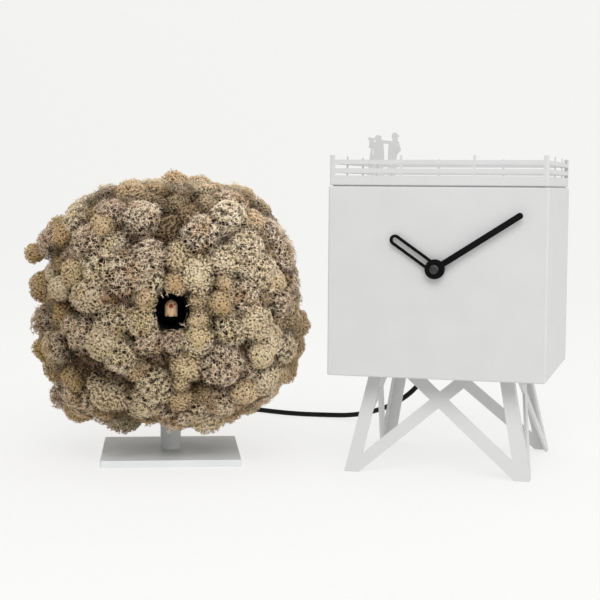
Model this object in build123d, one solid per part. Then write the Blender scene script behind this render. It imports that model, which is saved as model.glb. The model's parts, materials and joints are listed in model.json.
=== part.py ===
from build123d import *

import math
import os

# Two-part cuckoo clock: a sheet-metal clock tower on splayed legs, and a lichen
# "tree" on a stem that hides the cuckoo. One cable joins them. Millimetres, +Z up.
# Both units are modelled round their own vertical centre line, with their front
# towards -Y, and are then placed on the table: the tower square to the row axes,
# the tree turned so that it faces the viewer of both.

# ---- placing -------------------------------------------------------------------
TOWER_X = 136.06
TOWER_Y = 26.92
TREE_FROM_TOWER = (-243.0, -50.2)
TREE_TURN = 20.69

# ---- tower box -----------------------------------------------------------------
BOX_SIDE = 180.0
BOX_BOTTOM = 82.4
BOX_TOP = 239.1
SHEET = 2.0
FOLD = 1.2
FLANGE = 12.0
RECESS = 2.3
PANEL_GAP = 0.3
REAR_SILL = 6.3
SILL_FLANGE = 8.0
HALF = BOX_SIDE / 2
INNER = HALF - SHEET
LIP = INNER - FLANGE

# ---- legs ----------------------------------------------------------------------
FOOT_HALF = 77.5
LEG_TOP_HALF = 60.4
LEG_SHEET = 2.0
CORNER_STRIP = 11.3
BRACE_STRIP = 10.3
BRACE_FOOT = 73.0
BRACE_TOP = 24.0

# ---- roof tray -----------------------------------------------------------------
TRAY_HALF = 89.2
TRAY_SHEET = 1.2
TRAY_BOTTOM = 239.9
PLINTH = 87.0
BAND_TOP = 248.0
RAILS = ((250.1, 253.8), (257.2, 260.8))
POST_TOP = 264.6
CORNER_POST = 4.0
MID_POST = 2.1
MID_POST_AT = 30.0
DECK_TOP = TRAY_BOTTOM + TRAY_SHEET
FIGURES_Y = -16.0

# ---- clockwork -----------------------------------------------------------------
HUB_Z = 172.7
MINUTE_ANGLE = 57.2
HOUR_ANGLE = -55.2
MINUTE_REACH = 83.4
MINUTE_WIDTH = 5.1
HOUR_REACH = 44.9
HOUR_WIDTH = 8.9
HOUR_LINE = 2.45
HUB_RADIUS = 8.0
HAND_THICK = 1.0
RUN = 0.05
WORK_OFFSET = 14.4
MINUTE_MODULE = 0.6
HOUR_MODULE = 0.576

# ---- rear panel ----------------------------------------------------------------
WINDOW = (-34.0, 50.0, 122.0, 206.0)
HINGE_X = 57.0
HINGE_Y = 92.6
HINGE_Z = (118.0, 210.0)
KNUCKLE = 2.5
PIN_RADIUS = 1.0
SPEAKER_AT = (-56.0, 165.0)
VOLUME_AT = (24.0, 105.0)
SWITCH_AT = (52.0, 105.0)
TOWER_GLAND = (-36.0, 101.0)
GLAND_MOUTH_Y = 112.0

# ---- tree ----------------------------------------------------------------------
PLATE = 120.0
PLATE_THICK = 6.0
STEM_RADIUS = 9.0
STEM_TOP = 90.0
LICHEN = (224.0, 212.0, 222.0)
LICHEN_ROUND = 80.0
CORE = 130.0
CORE_WALL = 3.0
CORE_ROUND = 16.0
CORE_Z = 137.0
CORE_SPLIT = 20.0
CORE_HALF = CORE / 2
CORE_LOW = CORE_Z - CORE_HALF
NEST_Z = 136.0
NEST_INNER = 13.5
NEST_OUTER = 15.0
NEST_MOUTH = -98.0
NEST_BACK = -42.0
BIRD_Y = -82.0
BIRD_LOW = 131.0
BIRD_RADIUS = 5.3
BIRD_TALL = 13.9
BEAK_ABOVE = 8.5
RACK_MODULE = 0.8
PINION_TEETH = 12
PINION_Y = -34.0
RACK_LINE = 127.4
PINION_Z = RACK_LINE - RACK_MODULE * PINION_TEETH / 2
TREE_GLAND_Z = 84.0
TREE_GLAND_Y = 87.0

# ---- cable ---------------------------------------------------------------------
CORD_RADIUS = 2.5
# Route between the two glands, round the tower's centre line: it drops behind the
# tower, lies on the table in one loose bend and climbs to the back of the tree.
CORD_ROUTE = (
    (-36.0, 112.0, 101.0),
    (-36.0, 128.0, 101.0),
    (-37.0, 143.0, 93.0),
    (-41.5, 152.5, 76.5),
    (-50.5, 155.5, 55.0),
    (-65.5, 155.0, 35.5),
    (-87.0, 161.0, 21.0),
    (-112.0, 177.0, 10.5),
    (-137.0, 190.0, 4.2),
    (-163.0, 196.5, 2.5),
    (-190.0, 194.0, 2.5),
    (-217.0, 199.5, 2.5),
    (-243.0, 210.0, 2.5),
    (-270.0, 213.5, 2.5),
    (-294.0, 202.5, 2.5),
    (-306.0, 179.0, 3.4),
    (-307.0, 152.0, 11.0),
    (-303.0, 126.0, 25.0),
    (-298.0, 102.5, 43.5),
    (-292.6, 81.0, 63.5),
    (-286.4, 64.6, 79.0),
    (-279.4, 46.2, 84.0),
    (-273.74, 31.19, 84.0),
)
MIN_TURN_RADIUS = 25.0

os.makedirs("parts", exist_ok=True)

TOWER = Location((TOWER_X, TOWER_Y, 0))
TREE = Location(
    (TOWER_X + TREE_FROM_TOWER[0], TOWER_Y + TREE_FROM_TOWER[1], 0), (0, 0, TREE_TURN)
)
FACE_FRONT = Rot(90, 0, 0)
made = {}


def save(node, place, *solids):
    """Write one node's solids as a STEP file, at their place on the table."""
    shape = solids[0] if len(solids) == 1 else Compound(list(solids))
    made[node] = place * shape
    export_step(made[node], f"parts/{node}.step")


def block(x0, x1, y0, y1, z0, z1):
    """A box between three pairs of limits."""
    centre = Pos((x0 + x1) / 2, (y0 + y1) / 2, (z0 + z1) / 2)
    return centre * Box(abs(x1 - x0), abs(y1 - y0), abs(z1 - z0))


def bar(start, end, radius):
    """A round bar from one point to another."""
    along = Vector(*end) - Vector(*start)
    plane = Plane(origin=start, z_dir=along)
    return Part() + Solid.make_cylinder(radius, along.length, plane)


def ring(start, end, outer, inner):
    """A tube from one point to another."""
    return bar(start, end, outer) - bar(start, end, inner)


def screw(seat, direction, shank, length, head, head_height):
    """A pan-head screw: seat is under the head, direction runs along the shank."""
    seat = Vector(*seat)
    along = Vector(*direction)
    shaft = bar(seat, seat + along * length, shank)
    cap = bar(seat - along * head_height, seat, head)
    return shaft + cap


def flat_outline(points):
    """A filled polygon in the local XY plane."""
    return make_face(Polyline(*points, close=True))


def limb(start, end, width):
    """A flat strip with round ends, in the local XY plane."""
    return SlotCenterToCenter(math.dist(start, end), width).moved(
        Location(
            ((start[0] + end[0]) / 2, (start[1] + end[1]) / 2, 0),
            (0, 0, math.degrees(math.atan2(end[1] - start[1], end[0] - start[0]))),
        )
    )


def standing(sketch, y_front, thick):
    """A flat sketch stood upright facing the front, its front face at y_front."""
    return extrude(Plane.XZ.offset(-(y_front + thick)) * sketch, amount=thick)


def involute(angle):
    return math.tan(angle) - angle


def gear(teeth, module, thick, bore, phase, backlash=0.16):
    """A spur gear on local Z from 0 to thick, with a tooth centred at phase degrees."""
    pitch = module * teeth / 2
    pressure = math.radians(20)
    base = pitch * math.cos(pressure)
    root = pitch - 1.15 * module
    tip = pitch + 0.8 * module
    half_at_pitch = (math.pi / 2 - backlash) / teeth
    outline = []
    for tooth in range(teeth):
        middle = math.radians(phase + 360 * tooth / teeth)
        flank = []
        for radius in (root, max(base, root + 0.05), pitch, tip):
            local = math.acos(min(1.0, base / max(radius, base)))
            half = half_at_pitch + involute(pressure) - involute(local)
            flank.append((radius, half))
        for radius, half in flank:
            outline.append((radius, middle - half))
        for radius, half in reversed(flank):
            outline.append((radius, middle + half))
    points = [(r * math.cos(a), r * math.sin(a)) for r, a in outline]
    body = extrude(flat_outline(points), amount=thick)
    return body - Pos(0, 0, thick / 2) * Cylinder(bore, thick + 2) if bore else body


# ---- tower: box ----------------------------------------------------------------
def tower_shell():
    """Folded box with inner flanges for the rear and bottom, and a low plinth for the tray."""
    outer = fillet(block(-HALF, HALF, -HALF, HALF, BOX_BOTTOM, BOX_TOP).edges(), FOLD)
    floor = BOX_BOTTOM + RECESS + SHEET
    back = HALF - RECESS - SHEET
    shell = outer - block(-INNER, INNER, -INNER, back, floor, BOX_TOP - SHEET)
    sill = BOX_BOTTOM + REAR_SILL
    shell -= block(-LIP, LIP, back - 1, HALF + 1, sill + SILL_FLANGE, BOX_TOP - SHEET - FLANGE)
    shell -= block(-INNER, INNER, HALF - RECESS, HALF + 1, sill, BOX_TOP - SHEET)
    shell -= block(-LIP, LIP, -LIP, LIP, BOX_BOTTOM - 1, floor + 1)
    shell -= block(-INNER, INNER, -INNER, back, BOX_BOTTOM - 1, BOX_BOTTOM + RECESS)
    shell -= bar((0, -HALF - 1, HUB_Z), (0, -INNER + 1, HUB_Z), 4.2)
    shell += block(-PLINTH, PLINTH, -PLINTH, PLINTH, BOX_TOP, TRAY_BOTTOM)
    for x, y in tray_fixings():
        shell -= bar((x, y, BOX_TOP - SHEET - 1), (x, y, TRAY_BOTTOM + 1), 1.7)
    for x, z in rear_fixings():
        shell -= bar((x, HALF - RECESS + 1, z), (x, back - 1, z), 1.5)
    for x, y in bottom_fixings():
        shell -= bar((x, y, floor + 1), (x, y, BOX_BOTTOM), 1.5)
    return shell


def tray_fixings():
    return [(x, y) for x in (-70, 70) for y in (-70, 70)]


def rear_fixings():
    edge = INNER - FLANGE / 2
    return [(x, z) for x in (-edge, edge) for z in (98.0, 164.0, 230.0)]


def bottom_fixings():
    edge = INNER - FLANGE / 2
    return [(x, y) for x in (-edge, edge) for y in (-55.0, 55.0)]


def leg_fixings():
    return [(x, y) for x in (-50.0, 50.0) for y in (-50.0, 50.0)]


def bottom_plate():
    """Plate that closes the box from below and carries the legs."""
    edge = INNER - PANEL_GAP
    low = BOX_BOTTOM + PANEL_GAP
    back = HALF - RECESS - SHEET - PANEL_GAP
    plate = block(-edge, edge, -edge, back, low, low + SHEET)
    for x, y in bottom_fixings():
        plate -= bar((x, y, low - 1), (x, y, low + SHEET + 1), 1.7)
    for x, y in leg_fixings():
        plate += bar((x, y, low + SHEET), (x, y, low + SHEET + 3), 4)
        plate -= bar((x, y, low - 1), (x, y, low + SHEET + 4), 2.0)
    return plate


def rear_panel():
    """Rear panel with the access window, and holes for knob, switch, sound and cable."""
    edge = INNER - PANEL_GAP
    front = HALF - RECESS
    low = BOX_BOTTOM + REAR_SILL + PANEL_GAP
    panel = block(-edge, edge, front, front + SHEET, low, BOX_TOP - SHEET - PANEL_GAP)
    x0, x1, z0, z1 = WINDOW
    panel -= block(x0, x1, front - 1, HALF + 1, z0, z1)
    for x, z in rear_fixings():
        panel -= bar((x, front - 1, z), (x, HALF + 1, z), 1.7)
    panel -= through(VOLUME_AT, 3.6)
    panel -= through(TOWER_GLAND, 4.1)
    panel -= through((x0 - 3.6, (z0 + z1) / 2), 3.0)
    x, z = SWITCH_AT
    panel -= block(x - 5, x + 5, front - 1, HALF + 1, z - 2, z + 2)
    for row in range(-2, 3):
        for column in range(-2, 3):
            if abs(row) + abs(column) < 4:
                panel -= through((SPEAKER_AT[0] + 6 * column, SPEAKER_AT[1] + 6 * row), 1.5)
    for z0, z1 in panel_knuckles():
        foot = block(HINGE_X, HINGE_X + 9, front + SHEET, front + SHEET + 1.2, z0, z1)
        knuckle = bar((HINGE_X, HINGE_Y, z0), (HINGE_X, HINGE_Y, z1), KNUCKLE)
        panel += foot + knuckle
        panel -= bar((HINGE_X, HINGE_Y, z0 - 1), (HINGE_X, HINGE_Y, z1 + 1), PIN_RADIUS)
    return panel


def through(place, radius):
    """A drill along Y through the rear panel at (x, z)."""
    x, z = place
    return bar((x, HALF - RECESS - 1, z), (x, HALF + 1, z), radius)


def panel_knuckles():
    low, high = HINGE_Z
    return ((low, low + 18), (high - 18, high))


def rear_door():
    """Overlapping access door, with the middle hinge knuckle and a finger tab."""
    x0, x1, z0, z1 = WINDOW
    skin = 90.3
    leaf = block(x0 - 7, HINGE_X - 0.8, skin, skin + 1.6, z0 - 7, z1 + 7)
    for low, high in panel_knuckles():
        leaf -= block(HINGE_X - 4, HINGE_X + 4, skin - 1, skin + 3, low - 0.4, high + 0.4)
    low, high = HINGE_Z[0] + 18.4, HINGE_Z[1] - 18.4
    knuckle = bar((HINGE_X, HINGE_Y, low), (HINGE_X, HINGE_Y, high), KNUCKLE)
    leaf += knuckle + block(HINGE_X - 3, HINGE_X, skin, skin + 1.6, low, high)
    leaf -= bar((HINGE_X, HINGE_Y, low - 1), (HINGE_X, HINGE_Y, high + 1), PIN_RADIUS + RUN)
    middle = (z0 + z1) / 2
    tab = block(x0 - 6.5, x0 - 4.5, skin + 1.6, skin + 7.6, middle - 9, middle + 9)
    return leaf + fillet(tab.edges().filter_by(Axis.Z), 0.8)


# ---- tower: legs ---------------------------------------------------------------
def leg_half(z):
    """Half the width of the legs' outer square at a height."""
    return FOOT_HALF + (LEG_TOP_HALF - FOOT_HALF) * z / BOX_BOTTOM


def leg_side():
    """One inward-leaning side: two corner strips and a cross brace, cut from sheet."""
    top = BOX_BOTTOM + PANEL_GAP
    foot, head = leg_half(0), leg_half(top)
    frame = flat_outline([(-foot, 0), (foot, 0), (head, top), (-head, top)])
    window = flat_outline(
        [
            (-foot + CORNER_STRIP, -1),
            (foot - CORNER_STRIP, -1),
            (head - CORNER_STRIP, top + 1),
            (-head + CORNER_STRIP, top + 1),
        ]
    )
    strips = frame - window
    for side in (-1, 1):
        slope = (BRACE_TOP + BRACE_FOOT) / BOX_BOTTOM
        start = (side * BRACE_FOOT, 0)
        end = (-side * BRACE_TOP, BOX_BOTTOM)
        reach = (end[0] - start[0], end[1] - start[1])
        length = math.hypot(*reach)
        across = (-reach[1] / length * BRACE_STRIP / 2, reach[0] / length * BRACE_STRIP / 2)
        ends = [(start[0] + side * slope * 9, -9), (end[0] - side * slope * 9, end[1] + 9)]
        brace = flat_outline(
            [
                (ends[0][0] + across[0], ends[0][1] + across[1]),
                (ends[1][0] + across[0], ends[1][1] + across[1]),
                (ends[1][0] - across[0], ends[1][1] - across[1]),
                (ends[0][0] - across[0], ends[0][1] - across[1]),
            ]
        )
        strips += brace & frame
    slab = extrude(Plane.XZ.offset(-FOOT_HALF * 2) * strips, amount=FOOT_HALF * 4)
    return slab & leaning_wall(top)


def leaning_wall(top):
    """The sheet that leans inward, mitred at 45 degrees where it meets its neighbours."""
    sections = []
    for z in (0, top):
        outer = leg_half(z)
        inner = outer - LEG_SHEET
        wall = Polyline((-outer, -outer), (outer, -outer), (inner, -inner), (-inner, -inner), close=True)
        sections.append(Pos(0, 0, z) * make_face(wall))
    return loft(sections, ruled=True)


def leg_ring():
    """Square ring inside the top of the legs, bolted to the bottom plate."""
    top = BOX_BOTTOM + PANEL_GAP
    half = leg_half(top) - LEG_SHEET - 0.3
    hole = half - 16
    plate = block(-half, half, -half, half, top - LEG_SHEET, top)
    plate -= block(-hole, hole, -hole, hole, top - LEG_SHEET - 1, top + 1)
    for x, y in leg_fixings():
        plate -= bar((x, y, top - LEG_SHEET - 1), (x, y, top + 1), 2.2)
    return plate


# ---- tower: roof tray and figures ----------------------------------------------
def fence_cuts():
    """The gaps between band, rails and posts of one side, as boxes across the tray."""
    inside = TRAY_HALF - CORNER_POST
    posts = [-MID_POST_AT, MID_POST_AT]
    edges = [-inside]
    for post in posts:
        edges += [post - MID_POST / 2, post + MID_POST / 2]
    edges.append(inside)
    rows = [
        (BAND_TOP, RAILS[0][0]),
        (RAILS[0][1], RAILS[1][0]),
        (RAILS[1][1], POST_TOP + 1),
    ]
    cuts = []
    for left, right in zip(edges[::2], edges[1::2]):
        for low, high in rows:
            cuts.append((left, right, low, high))
    return cuts


def roof_tray():
    """Folded tray on the roof: a deck with a rail fence cut into its four sides."""
    outer = block(-TRAY_HALF, TRAY_HALF, -TRAY_HALF, TRAY_HALF, TRAY_BOTTOM, POST_TOP)
    outer = fillet(outer.edges().filter_by(Axis.Z), FOLD)
    outer = fillet(outer.faces().sort_by(Axis.Z)[0].edges(), FOLD)
    inner = TRAY_HALF - TRAY_SHEET
    tray = outer - block(-inner, inner, -inner, inner, DECK_TOP, POST_TOP + 1)
    for left, right, low, high in fence_cuts():
        tray -= block(left, right, -TRAY_HALF - 1, TRAY_HALF + 1, low, high)
        tray -= block(-TRAY_HALF - 1, TRAY_HALF + 1, left, right, low, high)
    for x, y in tray_fixings():
        tray -= bar((x, y, TRAY_BOTTOM - 1), (x, y, DECK_TOP + 1), 1.7)
    return tray


def figures():
    """Two birdwatchers and a scope on its tripod, cut from one flat sheet."""
    at = -75.2
    feet = DECK_TOP

    def p(x, z):
        return (at + x, feet + z)

    man = limb(p(25.2, 33.5), p(24.9, 39.6), 4.6)
    man += Pos(at + 24.8, feet + 41.6) * Ellipse(2.7, 2.9)
    man += limb(p(25.4, 41.4), p(28.0, 41.5), 1.2)
    man_coat = [(19.6, 37.2), (27.6, 37.0), (26.6, 24.0), (25.8, 17.0), (18.8, 17.0), (19.0, 28.0)]
    man += flat_outline([p(x, z) for x, z in man_coat])
    man += limb(p(27.2, 35.6), p(28.9, 29.6), 2.6)
    man += limb(p(28.9, 29.6), p(26.0, 25.6), 1.8)
    man += limb(p(21.0, 36.0), p(13.6, 36.6), 2.8)
    man += limb(p(20.8, 18.0), p(20.4, 1.2), 3.6)
    man += limb(p(24.0, 18.0), p(24.6, 1.2), 3.6)
    man += limb(p(24.6, 1.0), p(26.6, 0.9), 1.8)
    man += limb(p(20.4, 1.0), p(22.0, 0.9), 1.8)
    watcher = Pos(at + 10.0, feet + 39.6) * Ellipse(2.6, 2.8)
    watcher += limb(p(9.0, 41.4), p(12.2, 41.0), 1.6)
    watcher += limb(p(10.8, 37.8), p(11.8, 34.6), 5.0)
    watcher_coat = [(5.4, 34.0), (9.0, 37.6), (14.6, 35.8), (15.6, 24.0)]
    watcher_coat += [(14.8, 17.0), (5.8, 17.0), (6.2, 27.0)]
    watcher += flat_outline([p(x, z) for x, z in watcher_coat])
    watcher += limb(p(8.4, 34.4), p(3.2, 36.6), 2.2)
    watcher += limb(p(8.0, 18.0), p(6.2, 1.2), 3.4)
    watcher += limb(p(12.6, 18.0), p(13.4, 1.2), 3.8)
    watcher += limb(p(6.2, 1.0), p(4.4, 0.9), 1.8)
    scope = limb(p(3.0, 38.8), p(8.6, 39.0), 2.0)
    scope += limb(p(2.9, 39.0), p(2.4, 39.1), 2.6)
    scope += flat_outline([p(3.6, 38.6), p(6.4, 38.6), p(6.0, 32.4), p(4.2, 30.6), p(1.6, 31.8)])
    scope += limb(p(4.4, 31.5), p(0.8, 0.8), 1.1)
    scope += limb(p(4.4, 31.5), p(3.6, 0.8), 1.1)
    scope += limb(p(4.4, 31.5), p(6.6, 0.8), 1.1)
    foot = flat_outline([p(-3.5, 0), p(29, 0), p(29, 1.2), p(-3.5, 1.2)])
    above_deck = Pos(at + 12, feet + 30) * Rectangle(60, 60)
    return standing((man + watcher + scope + foot) & above_deck, FIGURES_Y, TRAY_SHEET)


# ---- tower: clockwork ----------------------------------------------------------
CASE_HALF = 28.0
CASE_FRONT = -88.0
CASE_SPLIT = -79.0
CASE_BACK = -71.0
CASE_WALL = 1.5
WORK_X = -WORK_OFFSET
SETTING_Z = HUB_Z - WORK_OFFSET
ROTOR_X = 16.0
ROTOR_Z = HUB_Z - 14.0


def at_hub(y):
    return (0, y, HUB_Z)


def case_block(y0, y1, inset):
    half = CASE_HALF - inset
    return block(-half, half, y0, y1, HUB_Z - half, HUB_Z + half)


def movement_case_front():
    case = fillet(case_block(CASE_FRONT, CASE_SPLIT, 0).edges().filter_by(Axis.Y), 3)
    case -= case_block(CASE_FRONT + CASE_WALL, CASE_SPLIT + 1, CASE_WALL)
    case += bar(at_hub(-92.0), at_hub(CASE_FRONT + 0.5), 4.0)
    return case - bar(at_hub(-93.0), at_hub(CASE_SPLIT), 2.8 + RUN)


def movement_case_back():
    case = fillet(case_block(CASE_SPLIT, CASE_BACK, 0).edges().filter_by(Axis.Y), 3)
    inside = CASE_BACK - CASE_WALL
    case -= case_block(CASE_SPLIT - 1, inside, CASE_WALL)
    case += ring(at_hub(inside - 4), at_hub(inside), 3.0, 1.5 + RUN)
    case += ring((ROTOR_X, inside - 1.2, ROTOR_Z), (ROTOR_X, inside, ROTOR_Z), 2.0, 0.6 + RUN)
    case += bar((WORK_X, CASE_FRONT + CASE_WALL + 0.2, HUB_Z), (WORK_X, inside, HUB_Z), 1.0)
    return case - bar((WORK_X, inside - 1, SETTING_Z), (WORK_X, CASE_BACK + 1, SETTING_Z), 1.2 + RUN)


def fixing_nut():
    """Hexagon nut with a flange, on the case's threaded neck."""
    hexagon = extrude(RegularPolygon(7.0, 6), amount=1.5)
    flange = bar(at_hub(-90.4), at_hub(-HALF), 7.6)
    nut = Pos(*at_hub(-90.4)) * FACE_FRONT * hexagon + flange
    return nut - bar(at_hub(-93), at_hub(-89), 4.0)


def minute_arbor():
    """Arbor through the hour pipe, with its 12-tooth pinion."""
    pinion = Pos(*at_hub(-81.2)) * FACE_FRONT * gear(12, MINUTE_MODULE, 1.9, 0, 180)
    return bar(at_hub(-98.2), at_hub(-73.2), 1.5) + pinion


def minute_work():
    """Intermediate wheel: 36 teeth with a 10-tooth pinion, turning on a fixed pin."""
    wheel = Pos(WORK_X, -81.4, HUB_Z) * FACE_FRONT * gear(36, MINUTE_MODULE, 1.5, 0, 5)
    pinion = Pos(WORK_X, -82.9, HUB_Z) * FACE_FRONT * gear(10, HOUR_MODULE, 2.4, 0, 0)
    bore = bar((WORK_X, -86, HUB_Z), (WORK_X, -80, HUB_Z), 1.0 + RUN)
    return wheel + pinion - bore


def hour_wheel():
    """40-tooth wheel with the pipe that carries the hour hand."""
    wheel = Pos(*at_hub(-83.6)) * FACE_FRONT * gear(40, HOUR_MODULE, 1.4, 0, 184.5)
    pipe = bar(at_hub(-94.2), at_hub(-83.6), 2.8)
    return wheel + pipe - bar(at_hub(-95), at_hub(-83), 1.5 + RUN)


def setting_pinion():
    """12-tooth pinion that meshes with the intermediate wheel, and its shaft."""
    pinion = Pos(WORK_X, -81.2, SETTING_Z) * FACE_FRONT * gear(12, MINUTE_MODULE, 1.9, 0, 90)
    return pinion + bar((WORK_X, -81.2, SETTING_Z), (WORK_X, -66.5, SETTING_Z), 1.2)


def setting_knob():
    knob = bar((WORK_X, -70.4, SETTING_Z), (WORK_X, -64.0, SETTING_Z), 7.0)
    for step in range(24):
        angle = math.radians(15 * step)
        x, z = WORK_X + 7.2 * math.cos(angle), SETTING_Z + 7.2 * math.sin(angle)
        knob -= bar((x, -71, z), (x, -63, z), 0.5)
    return knob - bar((WORK_X, -71, SETTING_Z), (WORK_X, -66.5, SETTING_Z), 1.2)


def step_rotor():
    magnet = bar((ROTOR_X, -78.4, ROTOR_Z), (ROTOR_X, -75.6, ROTOR_Z), 2.8)
    shaft = bar((ROTOR_X, -82.0, ROTOR_Z), (ROTOR_X, -72.7, ROTOR_Z), 0.6)
    return magnet + shaft


def step_stator():
    plate = block(5, 26, -77.5, -76.5, HUB_Z - 18.3, HUB_Z - 7.5)
    return plate - bar((ROTOR_X, -79, ROTOR_Z), (ROTOR_X, -75, ROTOR_Z), 3.3)


def step_coil():
    z = HUB_Z - 22.2
    coil = bar((4, -78.9, z), (24, -78.9, z), 3.1)
    for x in (2.5, 24):
        coil += bar((x, -78.9, z), (x + 1.5, -78.9, z), 3.7)
    return coil


def minute_hand():
    """Solid baton with a round tip and a round hub."""
    shape = Circle(HUB_RADIUS) + limb((0, 0), (0, MINUTE_REACH - MINUTE_WIDTH / 2), MINUTE_WIDTH)
    return hand(shape, -95.6, MINUTE_ANGLE, 1.5)


def hour_hand():
    """Open baton: an outline strip with a round end, on a round hub."""
    end = HOUR_REACH - HOUR_WIDTH / 2
    shape = limb((0, 0), (0, end), HOUR_WIDTH) - limb((0, 0), (0, end), HOUR_WIDTH - 2 * HOUR_LINE)
    shape += Circle(HUB_RADIUS)
    return hand(shape, -92.6, HOUR_ANGLE, 2.8)


def hand(shape, y_back, angle, bore):
    """A flat hand drawn pointing up, turned to its clock angle round the hub."""
    sheet = extrude(shape - Circle(bore), amount=HAND_THICK)
    return Pos(*at_hub(y_back)) * Rot(0, angle, 0) * FACE_FRONT * sheet


def hand_nut():
    nut = fillet(bar(at_hub(-99.4), at_hub(-96.6), 4.0).faces().sort_by(Axis.Y)[0].edges(), 1.5)
    return nut - bar(at_hub(-98.2), at_hub(-96), 1.5)


# ---- tower: inside and rear ----------------------------------------------------
FLOOR = BOX_BOTTOM + PANEL_GAP + SHEET
HOLDER = (-32.0, 32.0, 8.0, 73.0)
CELL_RADIUS = 7.1
CELL_LENGTH = 50.0
CELL_ROWS = (16.5, 32.5, 48.5, 64.5)


def battery_holder():
    x0, x1, y0, y1 = HOLDER
    low = FLOOR + 0.3
    tray = block(x0, x1, y0, y1, low, low + 13)
    for y in CELL_ROWS:
        tray -= block(x0 + 2, x1 - 2, y - 7.4, y + 7.4, low + 2, low + 14)
    return tray


def cells():
    z = FLOOR + 2.8 + CELL_RADIUS
    found = []
    for number, y in enumerate(CELL_ROWS):
        side = 1 if number % 2 else -1
        body = bar((-CELL_LENGTH / 2 + 0.7, y, z), (CELL_LENGTH / 2 - 0.7, y, z), CELL_RADIUS)
        tip = bar((side * (CELL_LENGTH / 2 - 0.7), y, z), (side * (CELL_LENGTH / 2 + 0.7), y, z), 2.6)
        found.append(body + tip)
    return found


def contact_springs():
    """Conical contact springs, as the stepped cone each one fills when pressed."""
    z = FLOOR + 2.8 + CELL_RADIUS
    found = []
    for number, y in enumerate(CELL_ROWS):
        side = -1 if number % 2 else 1
        wide = bar((side * 29.8, y, z), (side * 27.6, y, z), 4.2)
        found.append(wide + bar((side * 27.6, y, z), (side * 24.6, y, z), 2.6))
    return found


def control_board():
    board = block(-85.6, -84.0, -45, 30, 108, 160)
    chips = block(-84.0, -81.5, -30, -16, 128, 142) + block(-84.0, -79, 5, 22, 114, 122)
    return board + chips + block(-84.0, -76, -40, -32, 146, 155)


def board_standoffs():
    return [bar((-INNER, y, z), (-85.6, y, z), 2.5) for y in (-41, 26) for z in (112, 156)]


def speaker():
    x, z = SPEAKER_AT
    frame = ring((x, 84.5, z), (x, 87.5, z), 18, 15)
    basket = bar((x, 80.5, z), (x, 84.5, z), 15.5) + bar((x, 74, z), (x, 80.5, z), 9)
    return frame + basket


def volume_pot():
    x, z = VOLUME_AT
    return ring((x, 78, z), (x, 87.4, z), 6.5, 1.5 + RUN) + ring(
        (x, 87.4, z), (x, 90.6, z), 3.4, 1.5 + RUN
    )


def volume_knob():
    x, z = VOLUME_AT
    knob = fillet(bar((x, 91.2, z), (x, 99.2, z), 6.5).faces().sort_by(Axis.Y)[-1].edges(), 0.8)
    knob -= block(x - 0.5, x + 0.5, 98.7, 100, z + 2, z + 8)
    return knob + bar((x, 79, z), (x, 91.2, z), 1.5)


def switch_body():
    x, z = SWITCH_AT
    case = block(x - 7.5, x + 7.5, 80.5, 87.4, z - 3.6, z + 3.6)
    return case - block(x - 4.6, x + 4.6, 83.5, 88, z - 1.9, z + 1.9)


def switch_slider():
    x, z = SWITCH_AT
    foot = block(x - 4.2, x + 0.2, 83.9, 87.0, z - 1.5, z + 1.5)
    return foot + block(x - 3.4, x - 0.6, 87.0, 92.2, z - 1.5, z + 1.5)


def gland(y_seat, y_mouth, x, z):
    """Cable gland: thread through the panel, flange outside, nose tapering to the cable."""
    thread = bar((x, y_seat - 5.5, z), (x, y_seat, z), 4.0)
    flange = bar((x, y_seat, z), (x, y_seat + 2.5, z), 7.0)
    nose = Solid.make_cone(
        5.0, 3.4, y_mouth - y_seat - 2.5, Plane(origin=(x, y_seat + 2.5, z), z_dir=(0, 1, 0))
    )
    return thread + flange + nose


# ---- tree ----------------------------------------------------------------------
def base_plate():
    half = PLATE / 2
    plate = block(-half, half, -half, half, 0, PLATE_THICK)
    plate = fillet(plate.edges().filter_by(Axis.Z), 2)
    plate = fillet(plate.faces().sort_by(Axis.Z)[-1].edges(), 0.5)
    plate -= bar((0, 0, -1), (0, 0, PLATE_THICK + 1), 2.7)
    return plate - bar((0, 0, -1), (0, 0, 3.2), 5.4)


def base_screw():
    return screw((0, 0, 3.2), (0, 0, 1), 2.5, 13, 5.0, 2.6)


def stem_tube():
    """Round stem with a solid, threaded foot for the screw through the base plate."""
    stem = bar((0, 0, PLATE_THICK), (0, 0, STEM_TOP), STEM_RADIUS)
    stem -= bar((0, 0, PLATE_THICK + 16), (0, 0, STEM_TOP + 1), STEM_RADIUS - 2)
    return stem - bar((0, 0, PLATE_THICK - 1), (0, 0, 16.4), 2.5)


def stem_collar():
    return ring((0, 0, CORE_LOW - 5.3), (0, 0, CORE_LOW - 0.3), 15, STEM_RADIUS)


def core_block(y0, y1):
    """The part of the rounded hollow core between two planes."""
    middle = Pos(0, 0, CORE_Z)
    outer = fillet(Box(CORE, CORE, CORE).edges(), CORE_ROUND)
    room = CORE - 2 * CORE_WALL
    inner = fillet(Box(room, room, room).edges(), CORE_ROUND - CORE_WALL)
    return (middle * (outer - inner)) & block(-CORE, CORE, y0, y1, 0, 2 * CORE_Z)


def core_bosses():
    return [(x, CORE_Z + z) for x in (-50, 50) for z in (-50, 50)]


def core_front_shell():
    shell = core_block(-CORE, CORE_SPLIT)
    shell -= bar((0, -CORE, NEST_Z), (0, -40, NEST_Z), NEST_OUTER + 0.2)
    shell -= bar((0, 0, CORE_LOW - 1), (0, 0, CORE_LOW + 10), STEM_RADIUS + 0.2)
    for x, z in core_bosses():
        shell += ring((x, -10, z), (x, CORE_SPLIT, z), 5, 1.5)
        rib = block(x, math.copysign(CORE_HALF - 1.5, x), -10, CORE_SPLIT, z - 1, z + 1)
        shell += rib - bar((x, -11, z), (x, CORE_SPLIT + 1, z), 4.5)
    return shell


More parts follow.
